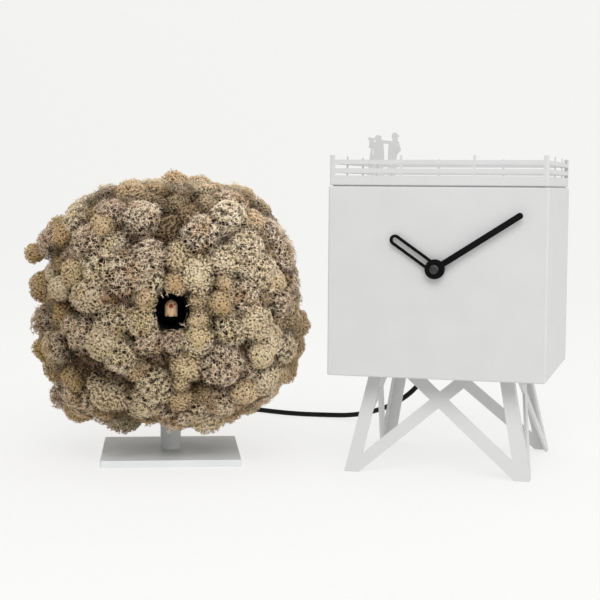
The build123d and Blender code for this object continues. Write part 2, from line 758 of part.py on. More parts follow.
def core_rear_cover():
    cover = core_block(CORE_SPLIT, CORE)
    for x, z in core_bosses():
        cover += ring((x, CORE_SPLIT, z), (x, CORE_HALF - CORE_WALL + 0.5, z), 5, 1.8)
        cover -= bar((x, CORE_HALF - CORE_WALL - 4, z), (x, CORE_HALF + 1, z), 3.4)
    return cover - bar((0, CORE_HALF - 6, TREE_GLAND_Z), (0, CORE_HALF + 1, TREE_GLAND_Z), 4.1)


def cover_screws():
    seat = CORE_HALF - CORE_WALL - 4
    return [screw((x, seat, z), (0, -1, 0), 1.5, 56, 3.1, 2.2) for x, z in core_bosses()]


def nest_tube():
    """Black tube from the mouth in the lichen to the core, with a slotted back wall."""
    tube = ring((0, NEST_MOUTH, NEST_Z), (0, NEST_BACK, NEST_Z), NEST_OUTER, NEST_INNER)
    inside = -CORE_HALF + CORE_WALL + 0.2
    tube += ring((0, inside, NEST_Z), (0, inside + 2, NEST_Z), NEST_OUTER + 4, NEST_INNER)
    wall = bar((0, NEST_BACK - 1.5, NEST_Z), (0, NEST_BACK, NEST_Z), NEST_OUTER)
    return tube + wall - block(-3.6, 3.6, NEST_BACK - 3, NEST_BACK + 1, 125.6, 131.4)


def bird():
    """Turned and sanded cuckoo: a round-shouldered body with two foot notches."""
    shoulder = BIRD_TALL - 6.4
    crown = (0.9, BIRD_TALL - 0.1)
    outline = Polyline((0, BIRD_TALL), (0, 0), (BIRD_RADIUS, 0), (BIRD_RADIUS, shoulder))
    outline += ThreePointArc((BIRD_RADIUS, shoulder), (4.1, BIRD_TALL - 2.3), crown)
    outline += Line(crown, (0, BIRD_TALL))
    profile = make_face(outline)
    body = revolve(Plane.XZ * profile, Axis.Z)
    body = Pos(0, BIRD_Y, BIRD_LOW) * body
    for x in (-2.6, 2.6):
        body -= block(x - 0.55, x + 0.55, BIRD_Y - 7, BIRD_Y, BIRD_LOW - 1, BIRD_LOW + 1.5)
    body -= bar((0, BIRD_Y, BIRD_LOW - 1), (0, BIRD_Y, BIRD_LOW + 5), 1.2)
    return body - beak_cone()


def beak_cone():
    plane = Plane(origin=(0, BIRD_Y - 4.0, BIRD_LOW + BEAK_ABOVE), z_dir=(0, -1, 0))
    return Solid.make_cone(2.1, 0.3, 5.0, plane)


def bird_carriage():
    """Flat bar that carries the bird, with a rack under its middle."""
    top = BIRD_LOW
    low = RACK_LINE + 0.9
    carriage = block(-3, 3, BIRD_Y - 8, 14, low, top)
    carriage += bar((0, BIRD_Y, top), (0, BIRD_Y, top + 4.8), 1.2)
    carriage += block(-2.5, 2.5, BIRD_Y - 7, BIRD_Y + 7, low - 1.2, low)
    pitch = math.pi * RACK_MODULE
    for tooth in range(-1, 11):
        y = PINION_Y + (tooth + 0.5) * pitch
        flank = [
            (y - 0.9, low),
            (y - 0.34, RACK_LINE - 0.62),
            (y + 0.34, RACK_LINE - 0.62),
            (y + 0.9, low),
        ]
        carriage += extrude(Plane.YZ.offset(-2.5) * flat_outline(flank), amount=5)
    return carriage


def drive_pinion():
    """12-tooth pinion on the gear motor's shaft, one tooth straight up."""
    pinion = Rot(0, 90, 0) * gear(PINION_TEETH, RACK_MODULE, 5, 0, 180)
    pinion = Pos(-2.5, PINION_Y, PINION_Z) * pinion
    return pinion + bar((2.5, PINION_Y, PINION_Z), (12, PINION_Y, PINION_Z), 1.5)


def gear_motor():
    box = block(9, 19, PINION_Y - 6, PINION_Y + 6, PINION_Z - 5, PINION_Z + 5)
    can = bar((19, PINION_Y, PINION_Z), (34, PINION_Y, PINION_Z), 5.0)
    return box + can - bar((8, PINION_Y, PINION_Z), (12.4, PINION_Y, PINION_Z), 1.5 + RUN)


def mechanism_bracket():
    """Moulded bracket over the stem: a channel for the bird's bar, and a motor cradle."""
    low = CORE_LOW + CORE_WALL + 0.2
    cradle = PINION_Z - 5.2
    bracket = block(-15, 15, -20, 10, 121.2, 123.2)
    for side in (-1, 1):
        bracket += block(side * 15, side * 17, -40, 10, low, cradle)
        bracket += block(side * 15, side * 17, -20, 10, cradle, 123.2)
        bracket += block(side * 17, side * 27, -40, 10, low, low + 2)
    bracket += block(9, 34, -40, -28, cradle - 1.8, cradle)
    bracket += block(-6, 6, -26, 16, 123.2, 134)
    bracket -= block(-3.3, 3.3, -27, 17, 125.6, 131.3)
    return bracket - block(-1.5, 1.5, -27, 17, 131, 135)


def bird_board():
    board = block(-30, 30, 56.5, 58.1, 118, 160)
    board += block(-12, 4, 53.5, 56.5, 130, 146)
    return board + block(14, 24, 50.5, 56.5, 122, 130)


def bird_board_posts():
    return [bar((x, 58.1, z), (x, 62, z), 2.5) for x in (-26, 26) for z in (122, 156)]


def lichen_pads():
    """The lichen cover as six pads round the core: front, back, sides, top, bottom."""
    whole = fillet(Box(*LICHEN).edges(), LICHEN_ROUND)
    room = CORE_HALF + 0.3
    whole = Pos(0, 0, CORE_Z) * whole - Pos(0, 0, CORE_Z) * Box(2 * room, 2 * room, 2 * room)
    whole -= bar((0, -120, NEST_Z), (0, -60, NEST_Z), NEST_OUTER + 0.3)
    whole -= bar((0, 0, 0), (0, 0, CORE_LOW), STEM_RADIUS + 1.5)
    whole -= bar((0, 0, CORE_LOW - 6), (0, 0, CORE_LOW + 2), 15.5)
    whole -= bar((0, 60, TREE_GLAND_Z), (0, 120, TREE_GLAND_Z), 9.0)
    far = 200.0
    above = CORE_Z + room
    below = CORE_Z - room
    cuts = {
        "front": block(-far, far, -far, -room, -far, 2 * far),
        "back": block(-far, far, room, far, -far, 2 * far),
        "top": block(-room, room, -room, room, above, 2 * far),
        "bottom": block(-room, room, -room, room, -far, below),
    }
    pads = {side: [whole & cut] for side, cut in cuts.items()}
    left = block(-far, -room, -room, room, -far, 2 * far)
    right = block(room, far, -room, room, -far, 2 * far)
    pads["sides"] = [whole & left, whole & right]
    return pads


# ---- cable ---------------------------------------------------------------------
def connecting_cord():
    """The cable as straight runs joined by arcs as large as the runs allow."""
    points = [Vector(*p) for p in CORD_ROUTE]
    radii = []
    for before, here, after in zip(points, points[1:], points[2:]):
        first, second = here - before, after - here
        turn = math.radians(first.get_angle(second))
        radii.append(0.45 * min(first.length, second.length) / math.tan(turn / 2))
    path = FilletPolyline(*points, radius=radii)
    section = Plane(origin=points[0], z_dir=points[1] - points[0]) * Circle(CORD_RADIUS)
    tube = sweep(section, path=path)
    expected = math.pi * CORD_RADIUS**2 * path.length
    print("cord radii", [round(r, 1) for r in radii], "least", round(min(radii), 1))
    print("cord length", round(path.length, 1), "volume", round(tube.volume), round(expected))
    if min(radii) < MIN_TURN_RADIUS:
        raise ValueError("the cord's route turns too sharply")
    return tube


def build_tower():
    save("tower_shell", TOWER, tower_shell())
    save("bottom_plate", TOWER, bottom_plate())
    save("rear_panel", TOWER, rear_panel())
    save("rear_door", TOWER, rear_door())
    low, high = HINGE_Z
    pin = bar((HINGE_X, HINGE_Y, low), (HINGE_X, HINGE_Y, high), PIN_RADIUS)
    save("door_hinge_pin", TOWER, pin)
    under = BOX_BOTTOM + PANEL_GAP
    skin = HALF - PANEL_GAP
    screws = [screw((x, skin, z), (0, -1, 0), 1.4, 5.5, 2.8, 1.6) for x, z in rear_fixings()]
    screws += [screw((x, y, under), (0, 0, 1), 1.4, 5.5, 2.8, 1.6) for x, y in bottom_fixings()]
    save("panel_screws", TOWER, *screws)
    side = leg_side()
    for node, turn in (("front", 0), ("right", 90), ("back", 180), ("left", 270)):
        save(f"leg_frame_{node}", TOWER, Rot(0, 0, turn) * side)
    save("leg_mounting_ring", TOWER, leg_ring())
    seat = under - LEG_SHEET
    bolts = [screw((x, y, seat), (0, 0, 1), 2.0, 8.5, 3.8, 2.2) for x, y in leg_fixings()]
    save("leg_screws", TOWER, *bolts)
    save("roof_tray", TOWER, roof_tray())
    save("birdwatcher_figures", TOWER, figures())
    below = BOX_TOP - SHEET
    bolts = [screw((x, y, below), (0, 0, 1), 1.5, 5.5, 2.8, 1.8) for x, y in tray_fixings()]
    save("tray_screws", TOWER, *bolts)


def build_clockwork():
    save("movement_case_front", TOWER, movement_case_front())
    save("movement_case_back", TOWER, movement_case_back())
    save("fixing_nut", TOWER, fixing_nut())
    save("minute_arbor", TOWER, minute_arbor())
    save("minute_work_wheel", TOWER, minute_work())
    save("hour_wheel", TOWER, hour_wheel())
    save("setting_pinion", TOWER, setting_pinion())
    save("setting_knob", TOWER, setting_knob())
    save("step_rotor", TOWER, step_rotor())
    save("step_stator_and_coil", TOWER, step_stator(), step_coil())
    save("minute_hand", TOWER, minute_hand())
    save("hour_hand", TOWER, hour_hand())
    save("hand_nut", TOWER, hand_nut())


def build_rear():
    save("battery_holder", TOWER, battery_holder())
    save("battery_cells", TOWER, *cells())
    save("contact_springs", TOWER, *contact_springs())
    save("control_board", TOWER, control_board() + board_standoffs())
    save("speaker", TOWER, speaker())
    save("volume_pot", TOWER, volume_pot())
    save("volume_knob", TOWER, volume_knob())
    save("mode_switch_body", TOWER, switch_body())
    save("mode_switch_slider", TOWER, switch_slider())
    save("tower_cord_gland", TOWER, gland(HALF - PANEL_GAP, GLAND_MOUTH_Y, *TOWER_GLAND))


def build_tree():
    save("base_plate", TREE, base_plate())
    save("base_screw", TREE, base_screw())
    save("stem_tube", TREE, stem_tube())
    save("stem_collar", TREE, stem_collar())
    save("core_front_shell", TREE, core_front_shell())
    save("core_rear_cover", TREE, core_rear_cover())
    save("cover_screws", TREE, *cover_screws())
    save("nest_tube", TREE, nest_tube())
    save("cuckoo_bird", TREE, bird())
    save("cuckoo_beak", TREE, beak_cone())
    save("bird_carriage", TREE, bird_carriage())
    save("drive_pinion", TREE, drive_pinion())
    save("gear_motor", TREE, gear_motor())
    save("mechanism_bracket", TREE, mechanism_bracket())
    save("bird_board", TREE, bird_board() + bird_board_posts())
    save("tree_cord_gland", TREE, gland(CORE_HALF, TREE_GLAND_Y, 0, TREE_GLAND_Z))
    for side, pads in lichen_pads().items():
        save(f"lichen_{side}", TREE, *pads)


build_tower()
build_clockwork()
build_rear()
build_tree()
save("connecting_cord", TOWER, connecting_cord())

boxes = [shape.bounding_box() for node, shape in made.items() if node != "connecting_cord"]
low = [min(tuple(box.min)[axis] for box in boxes) for axis in range(3)]
high = [max(tuple(box.max)[axis] for box in boxes) for axis in range(3)]
print("nodes", len(made), "box without the cord", [round(v, 2) for v in low + high])
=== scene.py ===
import json
import math

import bmesh
import bpy
import numpy as np
from mathutils import Matrix, Vector
from mathutils.bvhtree import BVHTree


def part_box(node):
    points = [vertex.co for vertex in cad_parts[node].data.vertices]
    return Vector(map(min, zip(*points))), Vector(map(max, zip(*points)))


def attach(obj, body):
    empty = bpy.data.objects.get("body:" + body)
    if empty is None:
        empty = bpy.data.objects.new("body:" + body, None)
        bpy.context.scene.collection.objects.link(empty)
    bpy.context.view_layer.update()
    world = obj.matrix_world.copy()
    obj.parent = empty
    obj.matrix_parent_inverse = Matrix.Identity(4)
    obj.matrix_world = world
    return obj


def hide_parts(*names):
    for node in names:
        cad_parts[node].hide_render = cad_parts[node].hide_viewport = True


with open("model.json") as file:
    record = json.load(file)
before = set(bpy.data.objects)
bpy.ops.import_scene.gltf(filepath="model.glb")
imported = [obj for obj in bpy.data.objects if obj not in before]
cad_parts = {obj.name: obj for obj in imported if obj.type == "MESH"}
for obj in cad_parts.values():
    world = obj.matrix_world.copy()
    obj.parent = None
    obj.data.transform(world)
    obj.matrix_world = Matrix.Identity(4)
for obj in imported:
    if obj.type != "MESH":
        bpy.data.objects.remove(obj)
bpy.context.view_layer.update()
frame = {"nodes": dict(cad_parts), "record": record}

SEED = 47
MM = 0.001


# ---- places, from the frame ------------------------------------------------------
def box_centre(node):
    low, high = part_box(node)
    return (low + high) / 2


TOWER = Vector((box_centre("tower_shell").x, box_centre("tower_shell").y, 0))
STEM = box_centre("stem_tube")
NEST = box_centre("nest_tube")
TREE_TURN = math.atan2(NEST.x - STEM.x, STEM.y - NEST.y)
TREE = Matrix.Translation((STEM.x, STEM.y, 0)) @ Matrix.Rotation(TREE_TURN, 4, "Z")
TREE_BACK = TREE.inverted()


def in_tower(x, y, z):
    """A point given in millimetres round the tower's centre line."""
    return TOWER + Vector((x, y, z)) * MM


def in_tree(x, y, z):
    """A point given in millimetres round the tree's stem, whose front looks along -Y."""
    return TREE @ (Vector((x, y, z)) * MM)


# ---- camera, floor and light -----------------------------------------------------
CAMERA_FROM_TOWER = (205.9, -1255.7, 238.1)
CAMERA_PAN = math.radians(15.335)
CAMERA_DOWN = math.radians(4.435)
CAMERA_ROLL = math.radians(0.425)
CAMERA_LENS = 87.36


def make_camera():
    data = bpy.data.cameras.new("camera")
    data.lens = CAMERA_LENS
    data.sensor_width = 36.0
    data.clip_start = 0.05
    data.clip_end = 30.0
    camera = bpy.data.objects.new("camera", data)
    bpy.context.scene.collection.objects.link(camera)
    pan = Matrix.Rotation(CAMERA_PAN, 4, "Z")
    tilt = Matrix.Rotation(math.pi / 2 - CAMERA_DOWN, 4, "X")
    roll = Matrix.Rotation(CAMERA_ROLL, 4, "Z")
    camera.matrix_world = Matrix.Translation(in_tower(*CAMERA_FROM_TOWER)) @ pan @ tilt @ roll
    bpy.context.scene.camera = camera


def make_backdrop():
    """A glowing white sheet: floor, one round sweep and a wall behind, with faint shadows."""
    floor_front, floor_back, sweep, wall_top, half_width = -9.0, 1.6, 0.9, 3.4, 7.0
    profile = [(floor_front, 0.0), (floor_back, 0.0)]
    for step in range(1, 17):
        angle = math.pi / 2 * step / 16
        profile.append((floor_back + sweep * math.sin(angle), sweep * (1 - math.cos(angle))))
    profile.append((floor_back + sweep, wall_top))
    mesh = bpy.data.meshes.new("backdrop")
    points = [(x, y, z) for y, z in profile for x in (-half_width, half_width)]
    faces = [(2 * i, 2 * i + 1, 2 * i + 3, 2 * i + 2) for i in range(len(profile) - 1)]
    mesh.from_pydata(points, [], faces)
    mesh.polygons.foreach_set("use_smooth", [True] * len(faces))
    backdrop = bpy.data.objects.new("backdrop", mesh)
    bpy.context.scene.collection.objects.link(backdrop)
    material, tree, shader = start_material("backdrop_paper")
    speckle = noise(tree, 180.0, 2.0)
    tint(tree, shader, speckle, (0.205, 0.205, 0.203), (0.215, 0.215, 0.213))
    shader.inputs["Emission Color"].default_value = (1.0, 0.998, 0.985, 1)
    shader.inputs["Emission Strength"].default_value = 0.715
    shader.inputs["Roughness"].default_value = 0.9
    shader.inputs["Specular IOR Level"].default_value = 0.1
    mesh.materials.append(material)


def make_lamp(name, place, aim, size, power):
    data = bpy.data.lights.new(name, "AREA")
    data.shape = "DISK"
    data.size = size
    data.energy = power
    lamp = bpy.data.objects.new(name, data)
    lamp.location = place
    lamp.rotation_euler = (Vector(aim) - Vector(place)).to_track_quat("-Z", "Y").to_euler()
    bpy.context.scene.collection.objects.link(lamp)


def make_light():
    world = bpy.data.worlds.new("white_room")
    world.use_nodes = True
    world.node_tree.nodes["Background"].inputs["Color"].default_value = (1.0, 1.0, 0.995, 1)
    world.node_tree.nodes["Background"].inputs["Strength"].default_value = 0.50
    bpy.context.scene.world = world
    middle = (0, 0, 0.14)
    make_lamp("key", (0.7, -2.1, 2.0), middle, 2.0, 44.5)
    make_lamp("right_fill", (2.4, -0.6, 1.0), middle, 1.6, 15)
    make_lamp("overhead", (0.1, 0.3, 2.6), middle, 1.6, 9)
    bpy.context.scene.view_settings.view_transform = "Standard"


# ---- material helpers ------------------------------------------------------------
def start_material(name):
    material = bpy.data.materials.new(name)
    material.use_nodes = True
    tree = material.node_tree
    return material, tree, tree.nodes["Principled BSDF"]


def noise(tree, scale, detail=3.0, stretch=(1, 1, 1)):
    """A noise over the surface in object space, with features of about 1/scale metres."""
    place = tree.nodes.new("ShaderNodeTexCoord")
    mapping = tree.nodes.new("ShaderNodeMapping")
    mapping.inputs["Scale"].default_value = stretch
    pattern = tree.nodes.new("ShaderNodeTexNoise")
    pattern.inputs["Scale"].default_value = scale
    pattern.inputs["Detail"].default_value = detail
    tree.links.new(place.outputs["Object"], mapping.inputs["Vector"])
    tree.links.new(mapping.outputs["Vector"], pattern.inputs["Vector"])
    return pattern.outputs["Fac"]


def attribute(tree, name):
    node = tree.nodes.new("ShaderNodeAttribute")
    node.attribute_name = name
    return node.outputs["Fac"]


def ramp(tree, factor, *stops):
    """Colours along a factor, as (position, colour) pairs."""
    node = tree.nodes.new("ShaderNodeValToRGB")
    elements = node.color_ramp.elements
    while len(elements) < len(stops):
        elements.new(0.5)
    for element, (position, colour) in zip(elements, stops):
        element.position = position
        element.color = (*colour, 1)
    tree.links.new(factor, node.inputs["Fac"])
    return node.outputs["Color"]


def tint(tree, shader, factor, first, second, low=0.35, high=0.65):
    """Base colour between two colours, by a factor."""
    tree.links.new(ramp(tree, factor, (low, first), (high, second)), shader.inputs["Base Color"])


def map_range(tree, factor, low, high, start=0.3, end=0.7):
    node = tree.nodes.new("ShaderNodeMapRange")
    node.inputs["From Min"].default_value = start
    node.inputs["From Max"].default_value = end
    node.inputs["To Min"].default_value = low
    node.inputs["To Max"].default_value = high
    tree.links.new(factor, node.inputs["Value"])
    return node.outputs["Result"]


def mix(tree, factor, first, second):
    """One colour turning into another by a factor; each may be a value or a socket."""
    node = tree.nodes.new("ShaderNodeMix")
    node.data_type = "RGBA"
    for value, socket in ((factor, "Factor"), (first, "A"), (second, "B")):
        wanted = "VALUE" if socket == "Factor" else "RGBA"
        target = next(s for s in node.inputs if s.name == socket and s.type == wanted)
        if isinstance(value, bpy.types.NodeSocket):
            tree.links.new(value, target)
        elif socket == "Factor":
            target.default_value = value
        else:
            target.default_value = (*value, 1)
    return next(s for s in node.outputs if s.type == "RGBA")


def relief(tree, shader, height, depth):
    """Bumps of a given depth in metres."""
    node = tree.nodes.new("ShaderNodeBump")
    node.inputs["Distance"].default_value = depth
    node.inputs["Strength"].default_value = 1.0
    tree.links.new(height, node.inputs["Height"])
    tree.links.new(node.outputs["Normal"], shader.inputs["Normal"])


def surface(
    name,
    colours,
    rough,
    grain,
    depth,
    blotch=35.0,
    metal=0.0,
    stretch=(1, 1, 1),
    coat=0.0,
    specular=0.5,
):
    """Two close colours in soft blotches, uneven gloss and a fine grain."""
    material, tree, shader = start_material(name)
    tint(tree, shader, noise(tree, blotch, 4.0, stretch), *colours)
    fine = noise(tree, grain, 3.0, stretch)
    gloss = map_range(tree, noise(tree, blotch * 3, 3.0, stretch), *rough)
    tree.links.new(gloss, shader.inputs["Roughness"])
    relief(tree, shader, fine, depth)
    shader.inputs["Metallic"].default_value = metal
    shader.inputs["Coat Weight"].default_value = coat
    shader.inputs["Specular IOR Level"].default_value = specular
    return material


# ---- materials of the CAD parts --------------------------------------------------
def wood_material():
    """Fine upright grain, with a flush of red round the beak."""
    material, tree, shader = start_material("pale_wood")
    grain = noise(tree, 420.0, 4.0, (1, 1, 0.07))
    plank = ramp(
        tree, grain, (0.3, (0.66, 0.37, 0.18)), (0.5, (0.86, 0.55, 0.31)), (0.7, (0.97, 0.70, 0.44))
    )
    place = tree.nodes.new("ShaderNodeTexCoord")
    away = tree.nodes.new("ShaderNodeVectorMath")
    away.operation = "DISTANCE"
    away.inputs[1].default_value = box_centre("cuckoo_beak") + Vector((0, 0, 0.0016))
    tree.links.new(place.outputs["Object"], away.inputs[0])
    flush = map_range(tree, away.outputs["Value"], 0.7, 0.0, 0.0008, 0.0032)
    blush = mix(tree, flush, plank, (0.55, 0.16, 0.11))
    tree.links.new(blush, shader.inputs["Base Color"])
    shader.inputs["Roughness"].default_value = 0.62
    relief(tree, shader, grain, 0.00015)
    return material


def winding_material():
    """Fine copper wire, laid in turns."""
    material, tree, shader = start_material("copper_coil")
    place = tree.nodes.new("ShaderNodeTexCoord")
    turns = tree.nodes.new("ShaderNodeTexWave")
    turns.bands_direction = "Z"
    turns.inputs["Scale"].default_value = 900.0
    turns.inputs["Distortion"].default_value = 0.6
    tree.links.new(place.outputs["Object"], turns.inputs["Vector"])
    tint(tree, shader, turns.outputs["Fac"], (0.26, 0.09, 0.03), (0.62, 0.27, 0.12), 0.1, 0.8)
    relief(tree, shader, turns.outputs["Fac"], 0.0001)
    shader.inputs["Metallic"].default_value = 0.9
    shader.inputs["Roughness"].default_value = 0.32
    return material


def board_material():
    """Green solder mask over faint copper tracks."""
    material, tree, shader = start_material("circuit_board")
    place = tree.nodes.new("ShaderNodeTexCoord")
    tracks = tree.nodes.new("ShaderNodeTexBrick")
    tracks.inputs["Scale"].default_value = 210.0
    tracks.inputs["Mortar Size"].default_value = 0.05
    tracks.inputs["Color1"].default_value = (0.016, 0.12, 0.05, 1)
    tracks.inputs["Color2"].default_value = (0.02, 0.15, 0.06, 1)
    tracks.inputs["Mortar"].default_value = (0.05, 0.26, 0.11, 1)
    tree.links.new(place.outputs["Object"], tracks.inputs["Vector"])
    tree.links.new(tracks.outputs["Color"], shader.inputs["Base Color"])
    relief(tree, shader, tracks.outputs["Fac"], 0.00006)
    shader.inputs["Roughness"].default_value = 0.3
    return material


def slot_materials():
    brushed = (1, 1, 0.06)
    return {
        "white_powder_coat": surface(
            "white_powder_coat",
            ((0.602, 0.604, 0.603), (0.620, 0.622, 0.621)),
            (0.44, 0.54),
            1500.0,
            0.00006,
        ),
        "grey_powder_coat": surface(
            "grey_powder_coat",
            ((0.66, 0.685, 0.685), (0.69, 0.715, 0.715)),
            (0.4, 0.5),
            1500.0,
            0.00006,
        ),
        "steel": surface(
            "steel", ((0.5, 0.5, 0.51), (0.66, 0.66, 0.67)), (0.24, 0.38), 2600.0, 0.00003, 160.0, 1.0
        ),
        "black_plastic": surface(
            "black_plastic", ((0.017, 0.017, 0.018), (0.026, 0.026, 0.027)), (0.42, 0.6), 2200.0, 0.00005
        ),
        "nest_black": surface(
            "nest_black",
            ((0.0012, 0.0012, 0.0012), (0.0020, 0.0020, 0.0020)),
            (0.88, 0.98),
            1800.0,
            0.00006,
            specular=0.03,
        ),
        "natural_plastic": surface(
            "natural_plastic", ((0.66, 0.63, 0.55), (0.72, 0.69, 0.61)), (0.35, 0.46), 1800.0, 0.00002
        ),
        "dark_metal": surface(
            "dark_metal",
            ((0.035, 0.035, 0.037), (0.09, 0.09, 0.094)),
            (0.26, 0.42),
            2400.0,
            0.00003,
            240.0,
            0.9,
        ),
        "brass": surface(
            "brass",
            ((0.58, 0.40, 0.15), (0.72, 0.53, 0.24)),
            (0.2, 0.34),
            2600.0,
            0.00002,
            200.0,
            1.0,
            brushed,
        ),
        "copper_coil": winding_material(),
        "black_hand": surface(
            "black_hand",
            ((0.0018, 0.0018, 0.002), (0.0030, 0.0030, 0.0032)),
            (0.72, 0.84),
            2000.0,
            0.00004,
            specular=0.12,
        ),
        "cell_wrap": surface(
            "cell_wrap",
            ((0.02, 0.05, 0.035), (0.035, 0.075, 0.05)),
            (0.18, 0.28),
            900.0,
            0.00003,
            60.0,
            coat=0.4,
        ),
        "circuit_board": board_material(),
        "pale_wood": wood_material(),
        "red_paint": surface(
            "red_paint", ((0.52, 0.055, 0.025), (0.66, 0.085, 0.04)), (0.4, 0.55), 1600.0, 0.00004, 300.0
        ),
    }


def dress_cad(materials):
    """Every CAD part that stays gets its slot's material."""
    for part in frame["record"]["subparts"]:
        material = materials.get(part["material_slot"])
        if material is not None:
            for slot in frame["nodes"][part["node"]].material_slots:
                slot.material = material


# ---- mesh helpers ----------------------------------------------------------------
def new_object(name, mesh, material, body="root"):
    piece = bpy.data.objects.new(name, mesh)
    bpy.context.scene.collection.objects.link(piece)
    mesh.materials.append(material)
    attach(piece, body)
    return piece


def mesh_from_arrays(name, points, corners, sizes):
    """A smooth mesh from points, a flat list of face corners, and each face's corner count."""
    mesh = bpy.data.meshes.new(name)
    mesh.vertices.add(len(points))
    mesh.vertices.foreach_set("co", np.asarray(points, np.float32).ravel())
    mesh.loops.add(len(corners))
    mesh.loops.foreach_set("vertex_index", np.asarray(corners, np.int32))
    starts = np.concatenate([[0], np.cumsum(sizes)[:-1]])
    mesh.polygons.add(len(sizes))
    mesh.polygons.foreach_set("loop_start", starts.astype(np.int32))
    mesh.polygons.foreach_set("use_smooth", np.ones(len(sizes), bool))
    mesh.update(calc_edges=True)
    mesh.validate()
    return mesh


def lathe(name, profile, start, direction, sides=40):
    """A closed turned shape: (distance along, radius) pairs round an axis, in metres."""
    along = Vector(direction).normalized()
    turn = Vector((0, 0, 1)).rotation_difference(along).to_matrix()
    points = []
    for distance, radius in profile:
        for side in range(sides):
            angle = 2 * math.pi * side / sides
            rim = Vector((radius * math.cos(angle), radius * math.sin(angle), distance))
            points.append(Vector(start) + turn @ rim)
    faces = []
    for row in range(len(profile) - 1):
        for side in range(sides):
            beside = (side + 1) % sides
            low, high = row * sides, (row + 1) * sides
            faces.append((low + side, low + beside, high + beside, high + side))
    faces.append(tuple(reversed(range(sides))))
    faces.append(tuple(range((len(profile) - 1) * sides, len(profile) * sides)))
    mesh = bpy.data.meshes.new(name)
    mesh.from_pydata([tuple(p) for p in points], [], faces)
    mesh.polygons.foreach_set("use_smooth", [len(f) == 4 for f in faces])
    mesh.update()
    return mesh


# ---- cable -----------------------------------------------------------------------
CORD_DIAMETER = 5.0
CORD_ROUTE = (
    (-36, 112, 101),
    (-36, 128, 101),
    (-37, 143, 93),
    (-41.5, 152.5, 76.5),
    (-50.5, 155.5, 55),
    (-65.5, 155, 35.5),
    (-87, 161, 21),
    (-112, 177, 10.5),
    (-137, 190, 4.2),
    (-163, 196.5, 2.5),
    (-190, 194, 2.5),
    (-217, 199.5, 2.5),
    (-243, 210, 2.5),
    (-270, 213.5, 2.5),
    (-294, 202.5, 2.5),
    (-306, 179, 3.4),
    (-307, 152, 11),
    (-303, 126, 25),
    (-298, 102.5, 43.5),
    (-292.6, 81, 63.5),
    (-286.4, 64.6, 79),
    (-279.4, 46.2, 84),
    (-273.74, 31.19, 84),
)


def cable_material():
    """Matt black jacket with faint blotches and a fine grain."""
    material, tree, shader = start_material("black_cable")
    tint(tree, shader, noise(tree, 90.0, 4.0), (0.0025, 0.0025, 0.003), (0.005, 0.005, 0.0055))
    gloss = map_range(tree, noise(tree, 240.0), 0.42, 0.6)
    tree.links.new(gloss, shader.inputs["Roughness"])
    relief(tree, shader, noise(tree, 1900.0), 0.00005)
    shader.inputs["Specular IOR Level"].default_value = 0.18
    return material


def make_cord(material):
    curve = bpy.data.curves.new("connecting_cable", "CURVE")
    curve.dimensions = "3D"
    spline = curve.splines.new("NURBS")
    spline.points.add(len(CORD_ROUTE) - 1)
    for point, place in zip(spline.points, CORD_ROUTE):
        point.co = (*in_tower(*place), 1)
    spline.order_u = 3
    spline.use_endpoint_u = True
    curve.resolution_u = 24
    curve.bevel_depth = CORD_DIAMETER / 2 * MM
    curve.bevel_resolution = 6
    curve.use_fill_caps = True
    curve.materials.append(material)
    cable = bpy.data.objects.new("connecting_cable", curve)
    bpy.context.scene.collection.objects.link(cable)
    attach(cable, "root")
    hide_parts("connecting_cord")


TOWER_GLAND_SEAT = (-36, 89.7, 101)
TREE_GLAND_SEAT = (0, 65, 84)


def make_strain_relief(name, node, seat, mouth, material):
    """A gland: a plain neck, a flange and a nose of ribs that shrink towards the cable."""
    axis = mouth - seat
    length = axis.length / MM
    profile = [(-5.5, 4.0), (0.0, 4.0), (0.0, 6.7), (0.3, 7.0), (2.2, 7.0), (2.5, 6.7), (2.5, 5.0)]
    ribs = 7
    pitch = (length - 4.0) / ribs
    for rib in range(ribs):
        foot = 3.0 + rib * pitch
        radius = 5.0 - 1.6 * rib / ribs
        profile += [
            (foot, radius - 0.7),
            (foot + 0.22 * pitch, radius - 0.7),
            (foot + 0.3 * pitch, radius - 0.1),
            (foot + 0.45 * pitch, radius),
            (foot + 0.9 * pitch, radius - 0.12),
            (foot + 0.98 * pitch, radius - 0.6),
        ]
    profile += [(length - 0.6, 3.3), (length, 3.0)]
    mesh = lathe(name, [(d * MM, r * MM) for d, r in profile], seat, axis)
    relief_piece = new_object(name, mesh, material)
    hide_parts(node)


# ---- bird ------------------------------------------------------------------------
EYE_SIDE = 2.7
EYE_BELOW_CROWN = 4.0
EYE_RADIUS = 0.65


def make_bird_eyes():
    """Two glossy dark beads let into the wooden face."""
    low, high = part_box("cuckoo_bird")
    bird = frame["nodes"]["cuckoo_bird"].data
    skin = BVHTree.FromPolygons([v.co for v in bird.vertices], [p.vertices for p in bird.polygons])
    material = surface(
        "eye_bead", ((0.02, 0.008, 0.004), (0.035, 0.014, 0.007)), (0.12, 0.2), 900.0, 0.00001, 300.0
    )
    forward = (TREE.to_3x3() @ Vector((0, -1, 0))).normalized()
    middle = TREE_BACK @ ((low + high) / 2)
    for side, name in ((-1, "left"), (1, "right")):
        start = in_tree(middle.x / MM + side * EYE_SIDE, -150, high.z / MM - EYE_BELOW_CROWN)
        place = skin.ray_cast(start, -forward)[0]
        mesh = bpy.data.meshes.new(f"bird_eye_{name}")
        bead = bmesh.new()
        bmesh.ops.create_uvsphere(bead, u_segments=20, v_segments=12, radius=EYE_RADIUS * MM)
        bmesh.ops.translate(bead, verts=bead.verts, vec=place - forward * EYE_RADIUS * 0.35 * MM)
        bead.to_mesh(mesh)
        bead.free()
        mesh.polygons.foreach_set("use_smooth", [True] * len(mesh.polygons))
        new_object(f"bird_eye_{name}", mesh, material, "bird")


